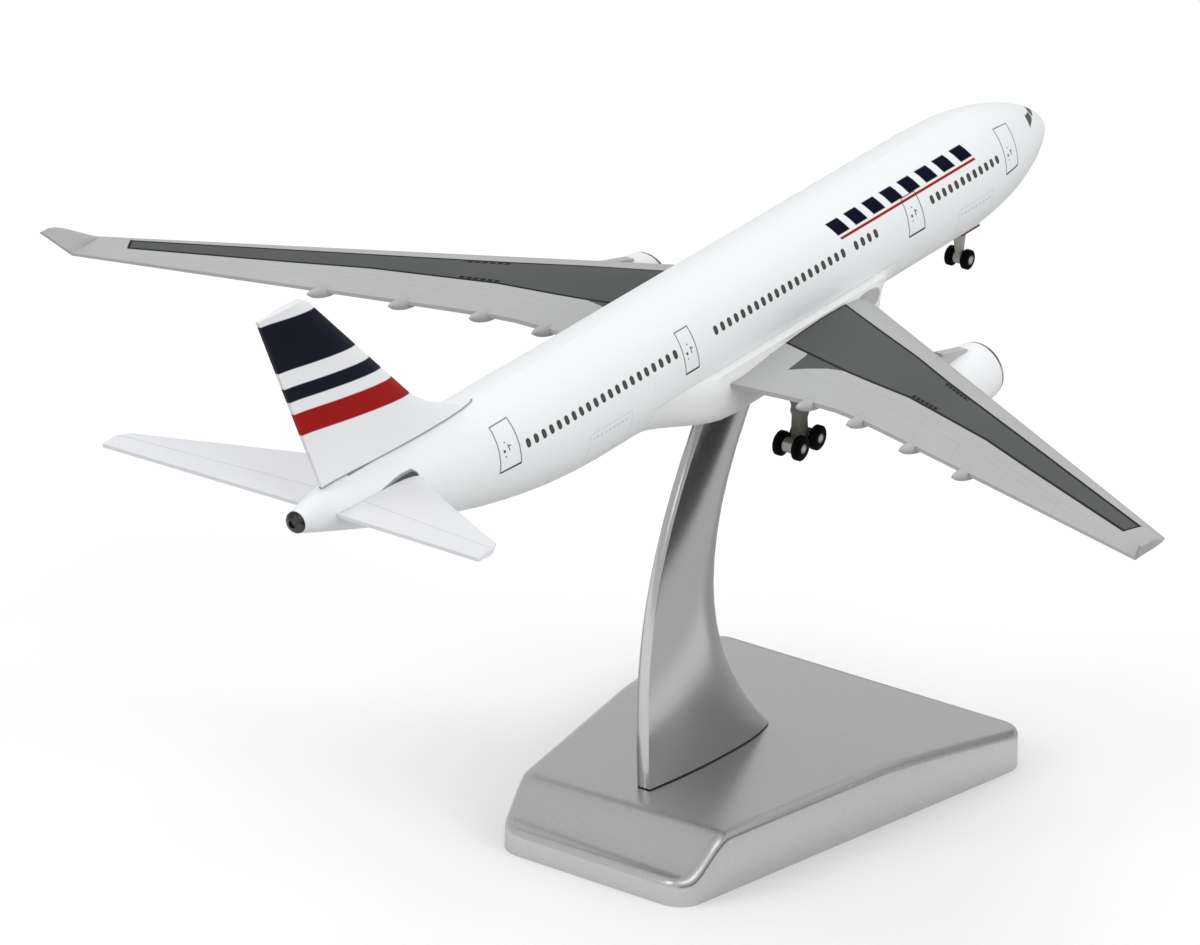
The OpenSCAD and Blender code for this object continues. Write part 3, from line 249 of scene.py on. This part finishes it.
mirrored_card("dark_card_right", (-0.33, -0.6, 0.12), (-0.33, 0.0, 0.12), 1.35, 0.24, 0.02)
mirrored_card("dark_card_low", (-0.1, -0.385, 0.0006), (-0.1, -0.385, -1.0), 0.9, 0.43, 0.02)
mirrored_card("grey_card_low", (0.06, -0.102, 0.0004), (0.06, -0.102, -1.0), 0.24, 0.136, 0.56)
mirrored_card("grey_card_fore", (0.115, 0.01, 0.0004), (0.115, 0.01, -1.0), 0.17, 0.088, 0.4)
mirrored_card("dark_card_front", (0.85, -0.34, 0.44), (0.0, 0.0, 0.04), 1.06, 0.57, 0.35)

# The stand's plinth: a hollow casting with a silver satin paint, wedge-shaped in
# plan, with a low lip behind and a back that rises in an S to the shoulder line.
CREASE = 35
MERGED = 0.000002
FLAKE_SCALE = 6500.0
SILVER_METALLIC = 0.93
SILVER_SPECULAR = 0.2


def casting(node, crease=CREASE):
    bpy.ops.object.select_all(action="DESELECT")
    source = frame["nodes"][node]
    source.select_set(True)
    bpy.context.view_layer.objects.active = source
    bpy.ops.object.duplicate()
    piece = bpy.context.object
    piece.parent = None
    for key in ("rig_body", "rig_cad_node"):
        del piece[key]
    piece.name = node + "_skin"
    piece.data.name = piece.name
    piece.data.materials.clear()
    bpy.ops.object.mode_set(mode="EDIT")
    bpy.ops.mesh.select_all(action="SELECT")
    bpy.ops.mesh.remove_doubles(threshold=MERGED)
    bpy.ops.mesh.customdata_custom_splitnormals_clear()
    bpy.ops.object.mode_set(mode="OBJECT")
    bpy.ops.object.shade_smooth_by_angle(angle=math.radians(crease))
    return piece


def dressed(piece, material, slot, body, *nodes):
    piece.data.materials.clear()
    piece.data.materials.append(material)
    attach(piece, body)
    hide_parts(*nodes)
    return piece


def silver_paint(name, dull, bright, least_rough):
    material, shader, place = new_material(name)
    flake = place.noise(FLAKE_SCALE, 2.0)
    paint = flake.share(0.3, 0.7).mixed(grey(dull), grey(bright))
    paint.feed(shader, "Base Color")
    (flake * 0.08 + least_rough).feed(shader, "Roughness")
    shader.inputs["Metallic"].default_value = SILVER_METALLIC
    shader.inputs["Specular IOR Level"].default_value = SILVER_SPECULAR
    place.bump(0.03, 0.00002, flake).feed(shader, "Normal")
    return material, shader, place, paint


silver, shader, place, paint = silver_paint("stand_silver_paint", 0.57, 0.63, 0.25)
dressed(casting("stand_base"), silver, "stand_silver", "stand", "stand_base")

# The arm: a curved blade cast in one piece, with the same silver paint; it stands on
# the plinth, with a near-black band of painted shade along the joint at its foot, and
# carries the aircraft on a peg. The paint rounds the two creases along its back.
FOOT_Z = 0.00602
# Painted shade at the foot joint: the heights where the band fades, and its near-black tone.
JOINT_SHADE_LOW = 0.0001
JOINT_SHADE_HIGH = 0.00015
JOINT_SHADE_TONE = 0.01
CREASE_RISE = 0.0005

arm_silver, shader, place, paint = silver_paint("arm_silver_paint", 0.565, 0.605, 0.17)
rise = place.node("SeparateXYZ", {}, {"Vector": place}, out=2)
# Painted shade: the arm's lowest 0.1 to 0.15 mm turns near black, standing for the shade in the joint with
# the plinth.
joint_shade = rise.share(FOOT_Z + JOINT_SHADE_HIGH, FOOT_Z + JOINT_SHADE_LOW)
joint_shade.mixed(paint, grey(JOINT_SHADE_TONE)).feed(shader, "Base Color")
blade = casting("stand_arm")
bpy.ops.object.mode_set(mode="EDIT")
bpy.ops.mesh.select_mode(type="EDGE")
bpy.ops.mesh.select_all(action="DESELECT")
bpy.ops.object.mode_set(mode="OBJECT")
for edge in blade.data.edges:
    low, high = (blade.data.vertices[i].co.z for i in edge.vertices)
    edge.select = abs(high - low) > CREASE_RISE
bpy.ops.object.mode_set(mode="EDIT")
bpy.ops.mesh.mark_sharp(clear=True)
bpy.ops.object.mode_set(mode="OBJECT")
dressed(blade, arm_silver, "stand_silver", "stand", "stand_arm")

# The ballast plate, the screws and the peg: plain steel inside the stand, the plate
# dark from its mill scale, the screws and the peg turned bright.
MILL_SCALE_DARK = 0.05
MILL_SCALE_PALE = 0.16
STEEL_DULL = 0.48
STEEL_BRIGHT = 0.6
TOOL_MARKS = 3000.0

ballast, shader, place = new_material("ballast_steel")
scale_marks = place.noise(240.0, 6.0)
scale_marks.share(0.35, 0.7).mixed(grey(MILL_SCALE_DARK), grey(MILL_SCALE_PALE)).feed(shader, "Base Color")
(scale_marks * 0.3 + 0.35).feed(shader, "Roughness")
shader.inputs["Metallic"].default_value = 0.8
dressed(casting("base_plate"), ballast, "ballast", "stand", "base_plate")

steel, shader, place = new_material("turned_steel")
turned = place.node("TexWave", {"bands_direction": "Z"},
                    {"Vector": place, "Scale": TOOL_MARKS, "Distortion": 2.0})
turned.mixed(grey(STEEL_DULL), grey(STEEL_BRIGHT)).feed(shader, "Base Color")
(turned * 0.12 + 0.22).feed(shader, "Roughness")
shader.inputs["Metallic"].default_value = 1.0
dressed(casting("arm_screws"), steel, "steel", "stand", "arm_screws")
dressed(casting("arm_peg"), steel, "steel", "stand", "arm_peg")

# The fuselage: two cast half shells under gloss white, with windows, doors and hatch
# outlines printed on. Stations count aft from the nose, in millimetres, heights from
# the waist, and the arc runs from the waist up round the shell.
STAND_TOP = 42.35
PEG_BACK = 1.5
PEG_STATION = 52.7
PEG_DEPTH = 7.6
PITCH = math.radians(3.3)
NOSE_AHEAD = PEG_BACK * math.cos(PITCH) - STAND_TOP * math.sin(PITCH) - PEG_STATION
WAIST_ABOVE = -PEG_BACK * math.sin(PITCH) - STAND_TOP * math.cos(PITCH) - PEG_DEPTH


def airframe(place):
    local = place.node("Mapping", {}, {
        "Vector": place, "Location": (NOSE_AHEAD, 0.0, WAIST_ABOVE),
        "Rotation": (0.0, PITCH, 0.0), "Scale": (1000.0,) * 3})
    split = local.node("SeparateXYZ", {}, {"Vector": local})
    outputs = split.socket.node.outputs
    x, y, z = (Tone(place.tree, outputs[i]) for i in range(3))
    return -x, abs(y), z


def within(distance, edge=0.05):
    return distance.share(edge, -edge)


def line(distance, width, edge=0.04):
    return within(abs(distance) - width / 2, edge)


def rounded_box(u, v, low, high, radius):
    across = abs(u - (low[0] + high[0]) / 2) - (high[0] - low[0]) / 2 + radius
    along = abs(v - (low[1] + high[1]) / 2) - (high[1] - low[1]) / 2 + radius
    outside = (across.most(0.0) ** 2.0 + along.most(0.0) ** 2.0) ** 0.5
    return outside + across.most(along).least(0.0) - radius


def convex(u, v, *corners):
    worst = None
    for (a, b), (c, d) in zip(corners, corners[1:] + corners[:1]):
        length = math.hypot(c - a, d - b)
        away = (u - a) * ((d - b) / length) - (v - b) * ((c - a) / length)
        worst = away if worst is None else worst.most(away)
    return worst


def union(*shares):
    whole = shares[0]
    for share in shares[1:]:
        whole = whole.most(share)
    return whole


def off_row(value, first, pitch, count):
    step = value.maths("ROUND", (value - first) / pitch)
    step = step.most(0.0).least(count - 1.0)
    return abs(value - first - step * pitch)


def fraction(value):
    return value.maths("FRACT", value)


def layered(paint, *layers):
    for share, colour in layers:
        paint = share.mixed(paint, colour)
    return paint


def mottled(place, scale, dull, bright):
    spots = place.noise(scale, 4.0)
    return spots, spots.share(0.3, 0.75).mixed(dull, bright)


def gloss(shader, place, specular):
    peel = place.noise(700.0, 1.0)
    (peel * 0.1 + 0.4).feed(shader, "Roughness")
    place.bump(0.05, 0.00004, peel).feed(shader, "Normal")
    shader.inputs["Specular IOR Level"].default_value = specular


GRIME_SCALE = 90.0
FUSELAGE_RADIUS = 5.638
NAVY = (0.0012, 0.0016, 0.012, 1.0)
RED = (0.32, 0.002, 0.002, 1.0)
white, shader, place = new_material("body_white_gloss")
station, side, height = airframe(place)
arc = height.maths("ARCTAN2", height, side) * FUSELAGE_RADIUS

WINDOW_LINE = 2.36
WINDOW_W = 0.56
WINDOW_H = 0.86
WINDOW_RIM = 0.16
WINDOW_ROWS = ((15.6, 26.9, 12), (36.2, 39.4, 4), (41.5, 61.6, 20), (67.8, 89.4, 21))
nearest = None
for first, last, count in WINDOW_ROWS:
    distance = off_row(station, first, (last - first) / (count - 1), count)
    nearest = distance if nearest is None else nearest.least(distance)
tall = (abs(arc - WINDOW_LINE) - (WINDOW_H - WINDOW_W) / 2).most(0.0)
pane = (nearest ** 2.0 + tall ** 2.0) ** 0.5 - WINDOW_W / 2
panes = within(pane)
glass = within(pane + WINDOW_RIM, 0.06)

DOORS = ((11.8, 14.4, 0.3, 11.1, 13.7, 5.2), (28.8, 31.4, 0.25, 28.7, 30.9, 3.95),
         (64.9, 66.9, 0.1, 64.8, 66.7, 4.05), (90.7, 93.4, 1.0, 90.2, 92.6, 5.3))
DOOR_MARKS = ((0.35, 1.75, 0.26, 0.26), (0.35, 1.25, 0.2, 0.1), (0.0, 2.5, 0.14, 0.14),
              (-0.28, 1.9, 0.12, 0.62), (-0.42, 2.02, 0.36, 0.12))
DOOR_LINE = 0.12
SILL_LINE = 0.17
MARK_RADIUS = 0.05
outlines = []
marks = []
for front_low, rear_low, low, front_high, rear_high, high in DOORS:
    edge = convex(station, arc, (front_low, low), (rear_low, low), (rear_high, high), (front_high, high))
    outlines.append(line(edge, DOOR_LINE))
    middle = (front_low + rear_low) / 2
    marks.append(line(arc - low, SILL_LINE) * within(abs(station - middle) - (rear_low - front_low) / 2))
    for across, up, wide, tall in DOOR_MARKS:
        low_corner = (middle + across - wide / 2, low + up - tall / 2)
        high_corner = (middle + across + wide / 2, low + up + tall / 2)
        marks.append(within(rounded_box(station, arc, low_corner, high_corner, MARK_RADIUS)))

HATCHES = (((17.2, -2.6), (23.0, -0.15)), ((75.0, -3.5), (81.2, -0.2)), ((83.5, -3.9), (86.0, -2.3)))
HATCH_LINE = 0.08
HATCH_RADIUS = 0.15
BEAD_PITCH = 0.6
BEAD_LINE = -0.75
BEAD_HALF_HEIGHT = 0.12
BEAD_MIDDLES = (20.1, 78.1)
BEAD_HALF_LENGTH = 2.6
FAINTNESS = 0.35
hatch_edges = (rounded_box(station, arc, low, high, HATCH_RADIUS) for low, high in HATCHES)
faint = union(*(line(edge, HATCH_LINE) for edge in hatch_edges))
beads = within(abs(fraction(station / BEAD_PITCH) - 0.5) - 0.3, 0.1)
beads = beads * within(abs(arc - BEAD_LINE) - BEAD_HALF_HEIGHT)
bead_runs = (within(abs(station - middle) - BEAD_HALF_LENGTH) for middle in BEAD_MIDDLES)
faint = faint.most(beads * union(*bead_runs))

SIDE_PANE = ((5.18, 2.09), (6.86, 1.86), (6.55, 2.81), (4.96, 2.52))
FRONT_PANE = ((0.09, 2.02), (1.86, 2.06), (1.28, 2.56), (0.09, 2.62))
FRONT_PANE_END = 4.9
cockpit = within(convex(side, height, *FRONT_PANE)) * within(station - FRONT_PANE_END)
cockpit = within(convex(station, height, *SIDE_PANE)).most(cockpit)

BLOCK_COUNT = 8
BLOCK_FIRST = 18.6
BLOCK_PITCH = 2.9
BLOCK_LEAN = 0.3
BLOCK_HALF_LENGTH = 0.95
BLOCK_LINE = 4.75
BLOCK_HALF_HEIGHT = 0.78
BAR_LINE = 3.62
BAR_HALF_HEIGHT = 0.13
BAR_MIDDLE = 28.75
BAR_HALF_LENGTH = 11.1
slanted = station - arc * BLOCK_LEAN
blocks = within(off_row(slanted, BLOCK_FIRST, BLOCK_PITCH, BLOCK_COUNT) - BLOCK_HALF_LENGTH)
blocks = blocks * within(abs(arc - BLOCK_LINE) - BLOCK_HALF_HEIGHT)
thin_bar = within(abs(arc - BAR_LINE) - BAR_HALF_HEIGHT) * within(abs(slanted - BAR_MIDDLE) - BAR_HALF_LENGTH)

PLATE_TOP = 4.35
PLATE_FOOT = 2.8
PLATE_FORE = 102.9
PLATE_AFT = 103.6
PLATE_MIDDLE = 105.5
PLATE_HALF_LENGTH = 3.1
RIM_HALF_LENGTH = 3.2
RIM_RISE = 0.06
RIM_HALF_WIDTH = 0.13
fore = ((PLATE_FORE - station).most(0.0) / 0.75) ** 2.0 * 0.75
aft = ((station - PLATE_AFT).most(0.0) / 4.4) ** 1.7 * 0.85
arch = height - (PLATE_TOP - fore - aft)
off_plate = abs(station - PLATE_MIDDLE)
plate = within(arch) * within(PLATE_FOOT - height) * within(off_plate - PLATE_HALF_LENGTH)
plate_rim = within(abs(arch - RIM_RISE) - RIM_HALF_WIDTH) * within(off_plate - RIM_HALF_LENGTH)
plate_rim = plate_rim * within(PLATE_FOOT - height)

grime, paint = mottled(place, GRIME_SCALE, (0.80, 0.822, 0.825, 1.0), (0.81, 0.83, 0.833, 1.0))
layered(
    paint,
    (union(*outlines), (0.13, 0.135, 0.14, 1.0)),
    (faint * FAINTNESS, (0.32, 0.32, 0.34, 1.0)),
    (union(*marks), (0.035, 0.035, 0.04, 1.0)),
    (panes, (0.035, 0.035, 0.036, 1.0)),
    (glass, (0.085, 0.085, 0.088, 1.0)),
    (blocks, NAVY),
    (thin_bar, RED),
    (cockpit, (0.08, 0.078, 0.076, 1.0)),
    (plate_rim, (0.27, 0.28, 0.29, 1.0)),
    (plate, (0.075, 0.08, 0.083, 1.0))).feed(shader, "Base Color")
gloss(shader, place, 0.12)

SHELL_CREASE = 70
SHELL_MERGED = 0.000025
BELLY_OPENING = ((33.0, 33.02), (71.48, 71.5))
RING_SLACK = 0.005
LAP = 0.03


def ring_station(point):
    return -1000.0 * (point.x * math.cos(PITCH) + point.z * math.sin(PITCH)) - NOSE_AHEAD


def select_ring(piece, first, last):
    bpy.ops.object.mode_set(mode="EDIT")
    bpy.ops.mesh.select_mode(type="VERT")
    bpy.ops.mesh.select_all(action="DESELECT")
    bpy.ops.object.mode_set(mode="OBJECT")
    for vertex in piece.data.vertices:
        vertex.select = first < ring_station(vertex.co) < last
    bpy.ops.object.mode_set(mode="EDIT")


def lapped(piece, fore, aft):
    select_ring(piece, fore - RING_SLACK, aft + RING_SLACK)
    bpy.ops.mesh.select_mode(type="FACE")
    bpy.ops.mesh.delete(type="FACE")
    for ring, reach in ((fore, -LAP), (aft, LAP)):
        select_ring(piece, ring - RING_SLACK, ring + RING_SLACK)
        bpy.ops.mesh.edge_face_add()
        bpy.ops.transform.translate(value=(
            reach * math.cos(PITCH) / 1000.0, 0.0, reach * math.sin(PITCH) / 1000.0))
    bpy.ops.object.mode_set(mode="OBJECT")


def closed(piece):
    bpy.ops.object.mode_set(mode="EDIT")
    bpy.ops.mesh.select_all(action="SELECT")
    bpy.ops.mesh.remove_doubles(threshold=SHELL_MERGED)
    bpy.ops.mesh.select_all(action="DESELECT")
    bpy.ops.mesh.select_mode(type="EDGE")
    bpy.ops.mesh.select_non_manifold()
    bpy.ops.mesh.fill_holes(sides=0)
    bpy.ops.mesh.select_all(action="SELECT")
    bpy.ops.mesh.normals_make_consistent(inside=False)
    bpy.ops.object.mode_set(mode="OBJECT")
    bpy.ops.object.shade_smooth_by_angle(angle=math.radians(SHELL_CREASE))


def evened(piece):
    bpy.ops.object.modifier_add(type="WEIGHTED_NORMAL")
    weigh = piece.modifiers[-1]
    weigh.mode = "FACE_AREA"
    weigh.keep_sharp = True
    bpy.ops.object.modifier_apply(modifier=weigh.name)


for half in ("fuselage_left", "fuselage_right"):
    piece = casting(half, SHELL_CREASE)
    for fore, aft in BELLY_OPENING:
        lapped(piece, fore, aft)
    closed(piece)
    evened(piece)
    dressed(piece, white, "body_white", "aircraft", half)

# The belly: the centre casting with the wing-root fairing, glued up into the two
# halves and painted with them, and the brass bush inside it that takes the peg.
BELLY_CREASE = 40
GLOVE_STATION = 39.0
GLOVE_HALF_LENGTH = 2.3
GLOVE_HEIGHT = -3.2
GLOVE_HALF_HEIGHT = 1.0
GLOVE_SIDE = 4.6

belly_white, shader, place = new_material("belly_white_gloss")
station, side, height = airframe(place)
grime, paint = mottled(place, GRIME_SCALE, (0.85, 0.855, 0.858, 1.0), (0.86, 0.865, 0.868, 1.0))
along = (abs(station - GLOVE_STATION) / GLOVE_HALF_LENGTH) ** 2.0
upward = (abs(height - GLOVE_HEIGHT) / GLOVE_HALF_HEIGHT) ** 2.0
glove = within((along + upward) ** 0.5 - 1.0, 0.06) * within(GLOVE_SIDE - side)
glove.mixed(paint, (0.44, 0.44, 0.447, 1.0)).feed(shader, "Base Color")
gloss(shader, place, 0.25)
dressed(casting("belly_fairing", BELLY_CREASE), belly_white, "body_white", "aircraft", "belly_fairing")

brass, shader, place = new_material("socket_brass")
tarnish = place.noise(500.0, 4.0)
tarnish.mixed((0.42, 0.27, 0.09, 1.0), (0.62, 0.44, 0.17, 1.0)).feed(shader, "Base Color")
(tarnish * 0.2 + 0.25).feed(shader, "Roughness")
shader.inputs["Metallic"].default_value = 1.0
dressed(casting("belly_socket", BELLY_CREASE), brass, "socket_brass", "aircraft", "belly_socket")

# The tail tip: a small turned cone of dark metal, with the exhaust bored in it,
# pressed into the end of the two fuselage halves.
TAIL_CREASE = 40
dark, shader, place = new_material("tail_dark_metal")
streaks = place.noise(900.0, 5.0)
soot = streaks.share(0.3, 0.7)
soot.mixed((0.03, 0.028, 0.026, 1.0), (0.1, 0.095, 0.09, 1.0)).feed(shader, "Base Color")
(streaks * 0.2 + 0.22).feed(shader, "Roughness")
shader.inputs["Metallic"].default_value = 0.9
dressed(casting("tail_exhaust", TAIL_CREASE), dark, "dark_metal", "aircraft", "tail_exhaust")

# The fin: a cast blade with its dorsal fillet, white, with a plain pattern of level
# navy and red bands; it stands in the seam of the halves with a dark joint line.
BAND_TILT = 0.12
BAND_START = 100.0
BANDS = ((18.6, 2.4, NAVY), (13.9, 0.7, NAVY), (10.9, 1.1, RED))
FIN_FOOT = 5.66
FOOT_TILT = 0.002
FOOT_LINE = 0.2

fin_paint, shader, place = new_material("fin_paint")
station, side, height = airframe(place)
grime, paint = mottled(place, GRIME_SCALE, (0.80, 0.805, 0.815, 1.0), (0.81, 0.815, 0.825, 1.0))
level = height - (station - BAND_START) * BAND_TILT
bands = [(within(abs(level - middle) - half), colour) for middle, half, colour in BANDS]
foot = height - FIN_FOOT - (station - BAND_START).most(0.0) * FOOT_TILT
layered(paint, *bands, (line(foot, FOOT_LINE) * 0.8, (0.2, 0.2, 0.21, 1.0))).feed(shader, "Base Color")
gloss(shader, place, 0.12)
dressed(casting("fin"), fin_paint, "body_white", "aircraft", "fin")

# The stabilizers: cast blades in a faintly blue white, each pushed into the tail
# with a tenon, with the elevator's gap engraved along the trailing edge.
HINGE_STATION = 109.0
HINGE_ROOT = 2.4
HINGE_SWEEP = 0.30
HINGE_LINE = 0.10

tail_paint, shader, place = new_material("stabilizer_paint")
station, side, height = airframe(place)
grime, paint = mottled(place, GRIME_SCALE, (0.74, 0.75, 0.785, 1.0), (0.78, 0.79, 0.81, 1.0))
gap = line(station - HINGE_STATION - (side - HINGE_ROOT) * HINGE_SWEEP, HINGE_LINE)
(gap * 0.3).mixed(paint, (0.3, 0.3, 0.32, 1.0)).feed(shader, "Base Color")
shader.inputs["Roughness"].default_value = 0.42
shader.inputs["Specular IOR Level"].default_value = 0.25
place.bump(0.3, 0.00006, 1.0 - gap).feed(shader, "Normal")
for node in ("left_stabilizer", "right_stabilizer"):
    dressed(casting(node), tail_paint, "body_white", "aircraft", node)

# The wings: cast with winglet and flap-track fairings in a light grey, with a dark
# anti-slip panel printed on top inside black border lines, and faint flap lines.
RAMP_SPAN = 60.0
RAMP_LOW = 40.0
RAMP_HIGH = 75.0
PANEL_FRONT = ((5.6, 42.5), (18.6, 49.5), (24.4, 53.0), (40.4, 62.0), (55.6, 70.6))
PANEL_REAR = ((6.1, 52.1), (15.1, 54.9), (22.9, 57.0), (34.1, 61.6), (41.2, 65.2), (54.8, 71.9))
PANEL_INBOARD = 6.15
PANEL_TIP_SIDE = 55.6
PANEL_TIP_STATION = 70.6
PANEL_TIP_SLANT = 0.57
BORDER_LINE = 0.3
ARROW_EDGE = ((9.3, 56.5), (10.7, 55.7), (12.6, 54.95), (14.6, 54.8))
ARROW_INBOARD = 9.3
ARROW_OUTBOARD = 14.8
ARROW_NOTCH = 0.55
WING_ROOT = 6.1
WING_ROOT_HEIGHT = -3.3
WING_SLOPE = 0.0594
SEAM_SIDES = (17.5, 26.0, 31.5, 38.5, 46.0, 52.0)
SLAT_SIDES = (12.5, 21.0, 28.0, 35.0, 42.0, 49.0)
FLAP_END = 53.0
FLAP_GAP = 1.3
DASH_PITCH = 0.62
DASH_INSET = 0.38
DASH_HALF_WIDTH = 0.21
DASH_HALF_LENGTH = 1.9
FORE_DASHES = 26.2
AFT_DASHES = 24.8
BORDER_BLACK = (0.004, 0.004, 0.005, 1.0)

wing_paint, shader, place = new_material("wing_paint")
station, side, height = airframe(place)


def border(points):
    ramp = side.node("ValToRGB", {}, {0: side / RAMP_SPAN})
    stops = ramp.socket.node.color_ramp.elements
    for _ in points[2:]:
        stops.new(0.5)
    for stop, (out, back) in zip(stops, points):
        stop.position = out / RAMP_SPAN
    for stop, (out, back) in zip(stops, points):
        stop.color = grey((back - RAMP_LOW) / (RAMP_HIGH - RAMP_LOW))
    return ramp * (RAMP_HIGH - RAMP_LOW) + RAMP_LOW


front = border(PANEL_FRONT)
rear = border(PANEL_REAR)
outboard = PANEL_TIP_SIDE - (station - PANEL_TIP_STATION) * PANEL_TIP_SLANT
edge = (front - station).most(station - rear).most(PANEL_INBOARD - side).most(side - outboard)
corner_out = (side - ARROW_INBOARD + ARROW_NOTCH).most(0.0) ** 2.0
corner_back = (rear - station + ARROW_NOTCH).most(0.0) ** 2.0
arrow = (ARROW_NOTCH - (corner_out + corner_back) ** 0.5).most(rear - station)
arrow = arrow.most(station - border(ARROW_EDGE)).most(side - ARROW_OUTBOARD)
upper = within(WING_ROOT_HEIGHT + (side - WING_ROOT) * WING_SLOPE - height, 0.02)
wear, paint = mottled(place, 120.0, (0.425, 0.427, 0.43, 1.0), (0.445, 0.447, 0.45, 1.0))
panel = wear.share(0.3, 0.7).mixed((0.078, 0.083, 0.082, 1.0), (0.088, 0.093, 0.091, 1.0))
behind = station - rear
ahead = front - station
seams = union(*(line(side - out - behind * 0.35, 0.07) for out in SEAM_SIDES)) * within(FLAP_GAP - behind)
flaps = union(line(behind - FLAP_GAP, 0.06), line(behind - 2.9 + side * 0.02, 0.06)) * within(side - FLAP_END)
slats = union(*(line(side - out + ahead * 0.5, 0.09) for out in SLAT_SIDES)) * within(0.9 - ahead)
dashes = within(abs(fraction(side / DASH_PITCH) - 0.5) - 0.37, 0.05)
fore_row = within(abs(ahead + DASH_INSET) - DASH_HALF_WIDTH)
fore_row = fore_row * within(abs(side - FORE_DASHES) - DASH_HALF_LENGTH)
aft_row = within(abs(behind + DASH_INSET) - DASH_HALF_WIDTH)
aft_row = aft_row * within(abs(side - AFT_DASHES) - DASH_HALF_LENGTH)
layered(
    paint,
    (union(seams, flaps, slats) * 0.3, (0.24, 0.24, 0.25, 1.0)),
    (within(arrow) * upper, panel),
    (within(edge) * upper, panel),
    (union(line(edge, BORDER_LINE), union(fore_row, aft_row) * dashes) * upper, BORDER_BLACK),
).feed(shader, "Base Color")
(wear * 0.1 + 0.45).feed(shader, "Roughness")
shader.inputs["Specular IOR Level"].default_value = 0.2
place.bump(0.06, 0.00004, place.noise(900.0, 1.0)).feed(shader, "Normal")
for node in ("left_wing", "right_wing"):
    dressed(casting(node), wing_paint, "wing_grey", "aircraft", node)

# The engines: a white cowl with a polished lip pressed in front, a dark fan inside,
# a dark core nozzle behind, and a grey pylon up to the wing.
LIP_DULL = 0.28
LIP_BRIGHT = 0.42
PYLON_DULL = 0.42
PYLON_BRIGHT = 0.48

cowl, shader, place = new_material("cowl_white")
grime, paint = mottled(place, GRIME_SCALE, (0.83, 0.84, 0.855, 1.0), (0.84, 0.85, 0.865, 1.0))
paint.feed(shader, "Base Color")
(grime * 0.1 + 0.35).feed(shader, "Roughness")
shader.inputs["Specular IOR Level"].default_value = 0.3
lip, shader, place = new_material("polished_lip")
swirl = place.noise(600.0, 3.0)
swirl.mixed(grey(LIP_DULL), grey(LIP_BRIGHT)).feed(shader, "Base Color")
(swirl * 0.12 + 0.14).feed(shader, "Roughness")
shader.inputs["Metallic"].default_value = 1.0
pylon_paint, shader, place = new_material("pylon_grey")
grime, paint = mottled(place, 120.0, grey(PYLON_DULL), grey(PYLON_BRIGHT))
paint.feed(shader, "Base Color")
(grime * 0.1 + 0.3).feed(shader, "Roughness")
for hand in ("left_", "right_"):
    dressed(casting(hand + "nacelle"), cowl, "body_white", "aircraft", hand + "nacelle")
    dressed(casting(hand + "inlet_ring"), lip, "lip_metal", "aircraft", hand + "inlet_ring")
    dressed(casting(hand + "fan"), dark, "dark_metal", "aircraft", hand + "fan")
    dressed(casting(hand + "core_nozzle"), dark, "dark_metal", "aircraft", hand + "core_nozzle")
    dressed(casting(hand + "pylon"), pylon_paint, "wing_grey", "aircraft", hand + "pylon")

# The undercarriage: cast legs, pale in front and dark olive grey under the wings,
# with plain steel axles, turned hubs and moulded black tyres that spin. The nose
# doors are white with a dark red lower edge.
AXLE_HEIGHT = -8.76
SLEEVE_HALF_HEIGHT = 0.46
BOGIE_MIDDLE = 57.4
SLEEVE_START = 0.7
DOOR_EDGE = -6.1

leg_dark, shader, place = new_material("main_leg_grey")
station, side, height = airframe(place)
grime, paint = mottled(place, 500.0, (0.07, 0.075, 0.06, 1.0), (0.15, 0.155, 0.13, 1.0))
sleeve = within(abs(height - AXLE_HEIGHT) - SLEEVE_HALF_HEIGHT)
sleeve = sleeve * within(SLEEVE_START - abs(station - BOGIE_MIDDLE))
sleeve.mixed(paint, (0.38, 0.38, 0.37, 1.0)).feed(shader, "Base Color")
(grime * 0.2 + 0.35).feed(shader, "Roughness")
leg_pale, shader, place = new_material("nose_leg_grey")
grime, paint = mottled(place, 500.0, (0.26, 0.27, 0.23, 1.0), (0.42, 0.43, 0.38, 1.0))
paint.feed(shader, "Base Color")
(grime * 0.2 + 0.3).feed(shader, "Roughness")
hub, shader, place = new_material("hub_grey")
grime, paint = mottled(place, 900.0, (0.12, 0.115, 0.115, 1.0), (0.2, 0.195, 0.195, 1.0))
paint.feed(shader, "Base Color")
(grime * 0.2 + 0.3).feed(shader, "Roughness")
tyre, shader, place = new_material("tyre_black")
dust, paint = mottled(place, 800.0, grey(0.001), grey(0.003))
paint.feed(shader, "Base Color")
(dust * 0.2 + 0.45).feed(shader, "Roughness")
shader.inputs["Specular IOR Level"].default_value = 0.04
door, shader, place = new_material("nose_door_white")
station, side, height = airframe(place)
grime, paint = mottled(place, GRIME_SCALE, (0.80, 0.81, 0.82, 1.0), (0.82, 0.83, 0.84, 1.0))
within(height - DOOR_EDGE).mixed(paint, (0.1, 0.012, 0.012, 1.0)).feed(shader, "Base Color")
(grime * 0.1 + 0.4).feed(shader, "Roughness")
dressed(casting("nose_leg"), leg_pale, "gear_grey", "aircraft", "nose_leg")
dressed(casting("nose_doors"), door, "body_white", "aircraft", "nose_doors")
for leg in ("left_main_leg", "right_main_leg"):
    dressed(casting(leg), leg_dark, "gear_grey", "aircraft", leg)
for wheel in ("nose", "left_fore", "left_aft", "right_fore", "right_aft"):
    body = wheel + "_wheelset"
    dressed(casting(wheel + "_axle"), steel, "steel", body, wheel + "_axle")
    dressed(casting(wheel + "_hubs"), hub, "hub_grey", body, wheel + "_hubs")
    dressed(casting(wheel + "_tyres"), tyre, "tyre_black", body, wheel + "_tyres")
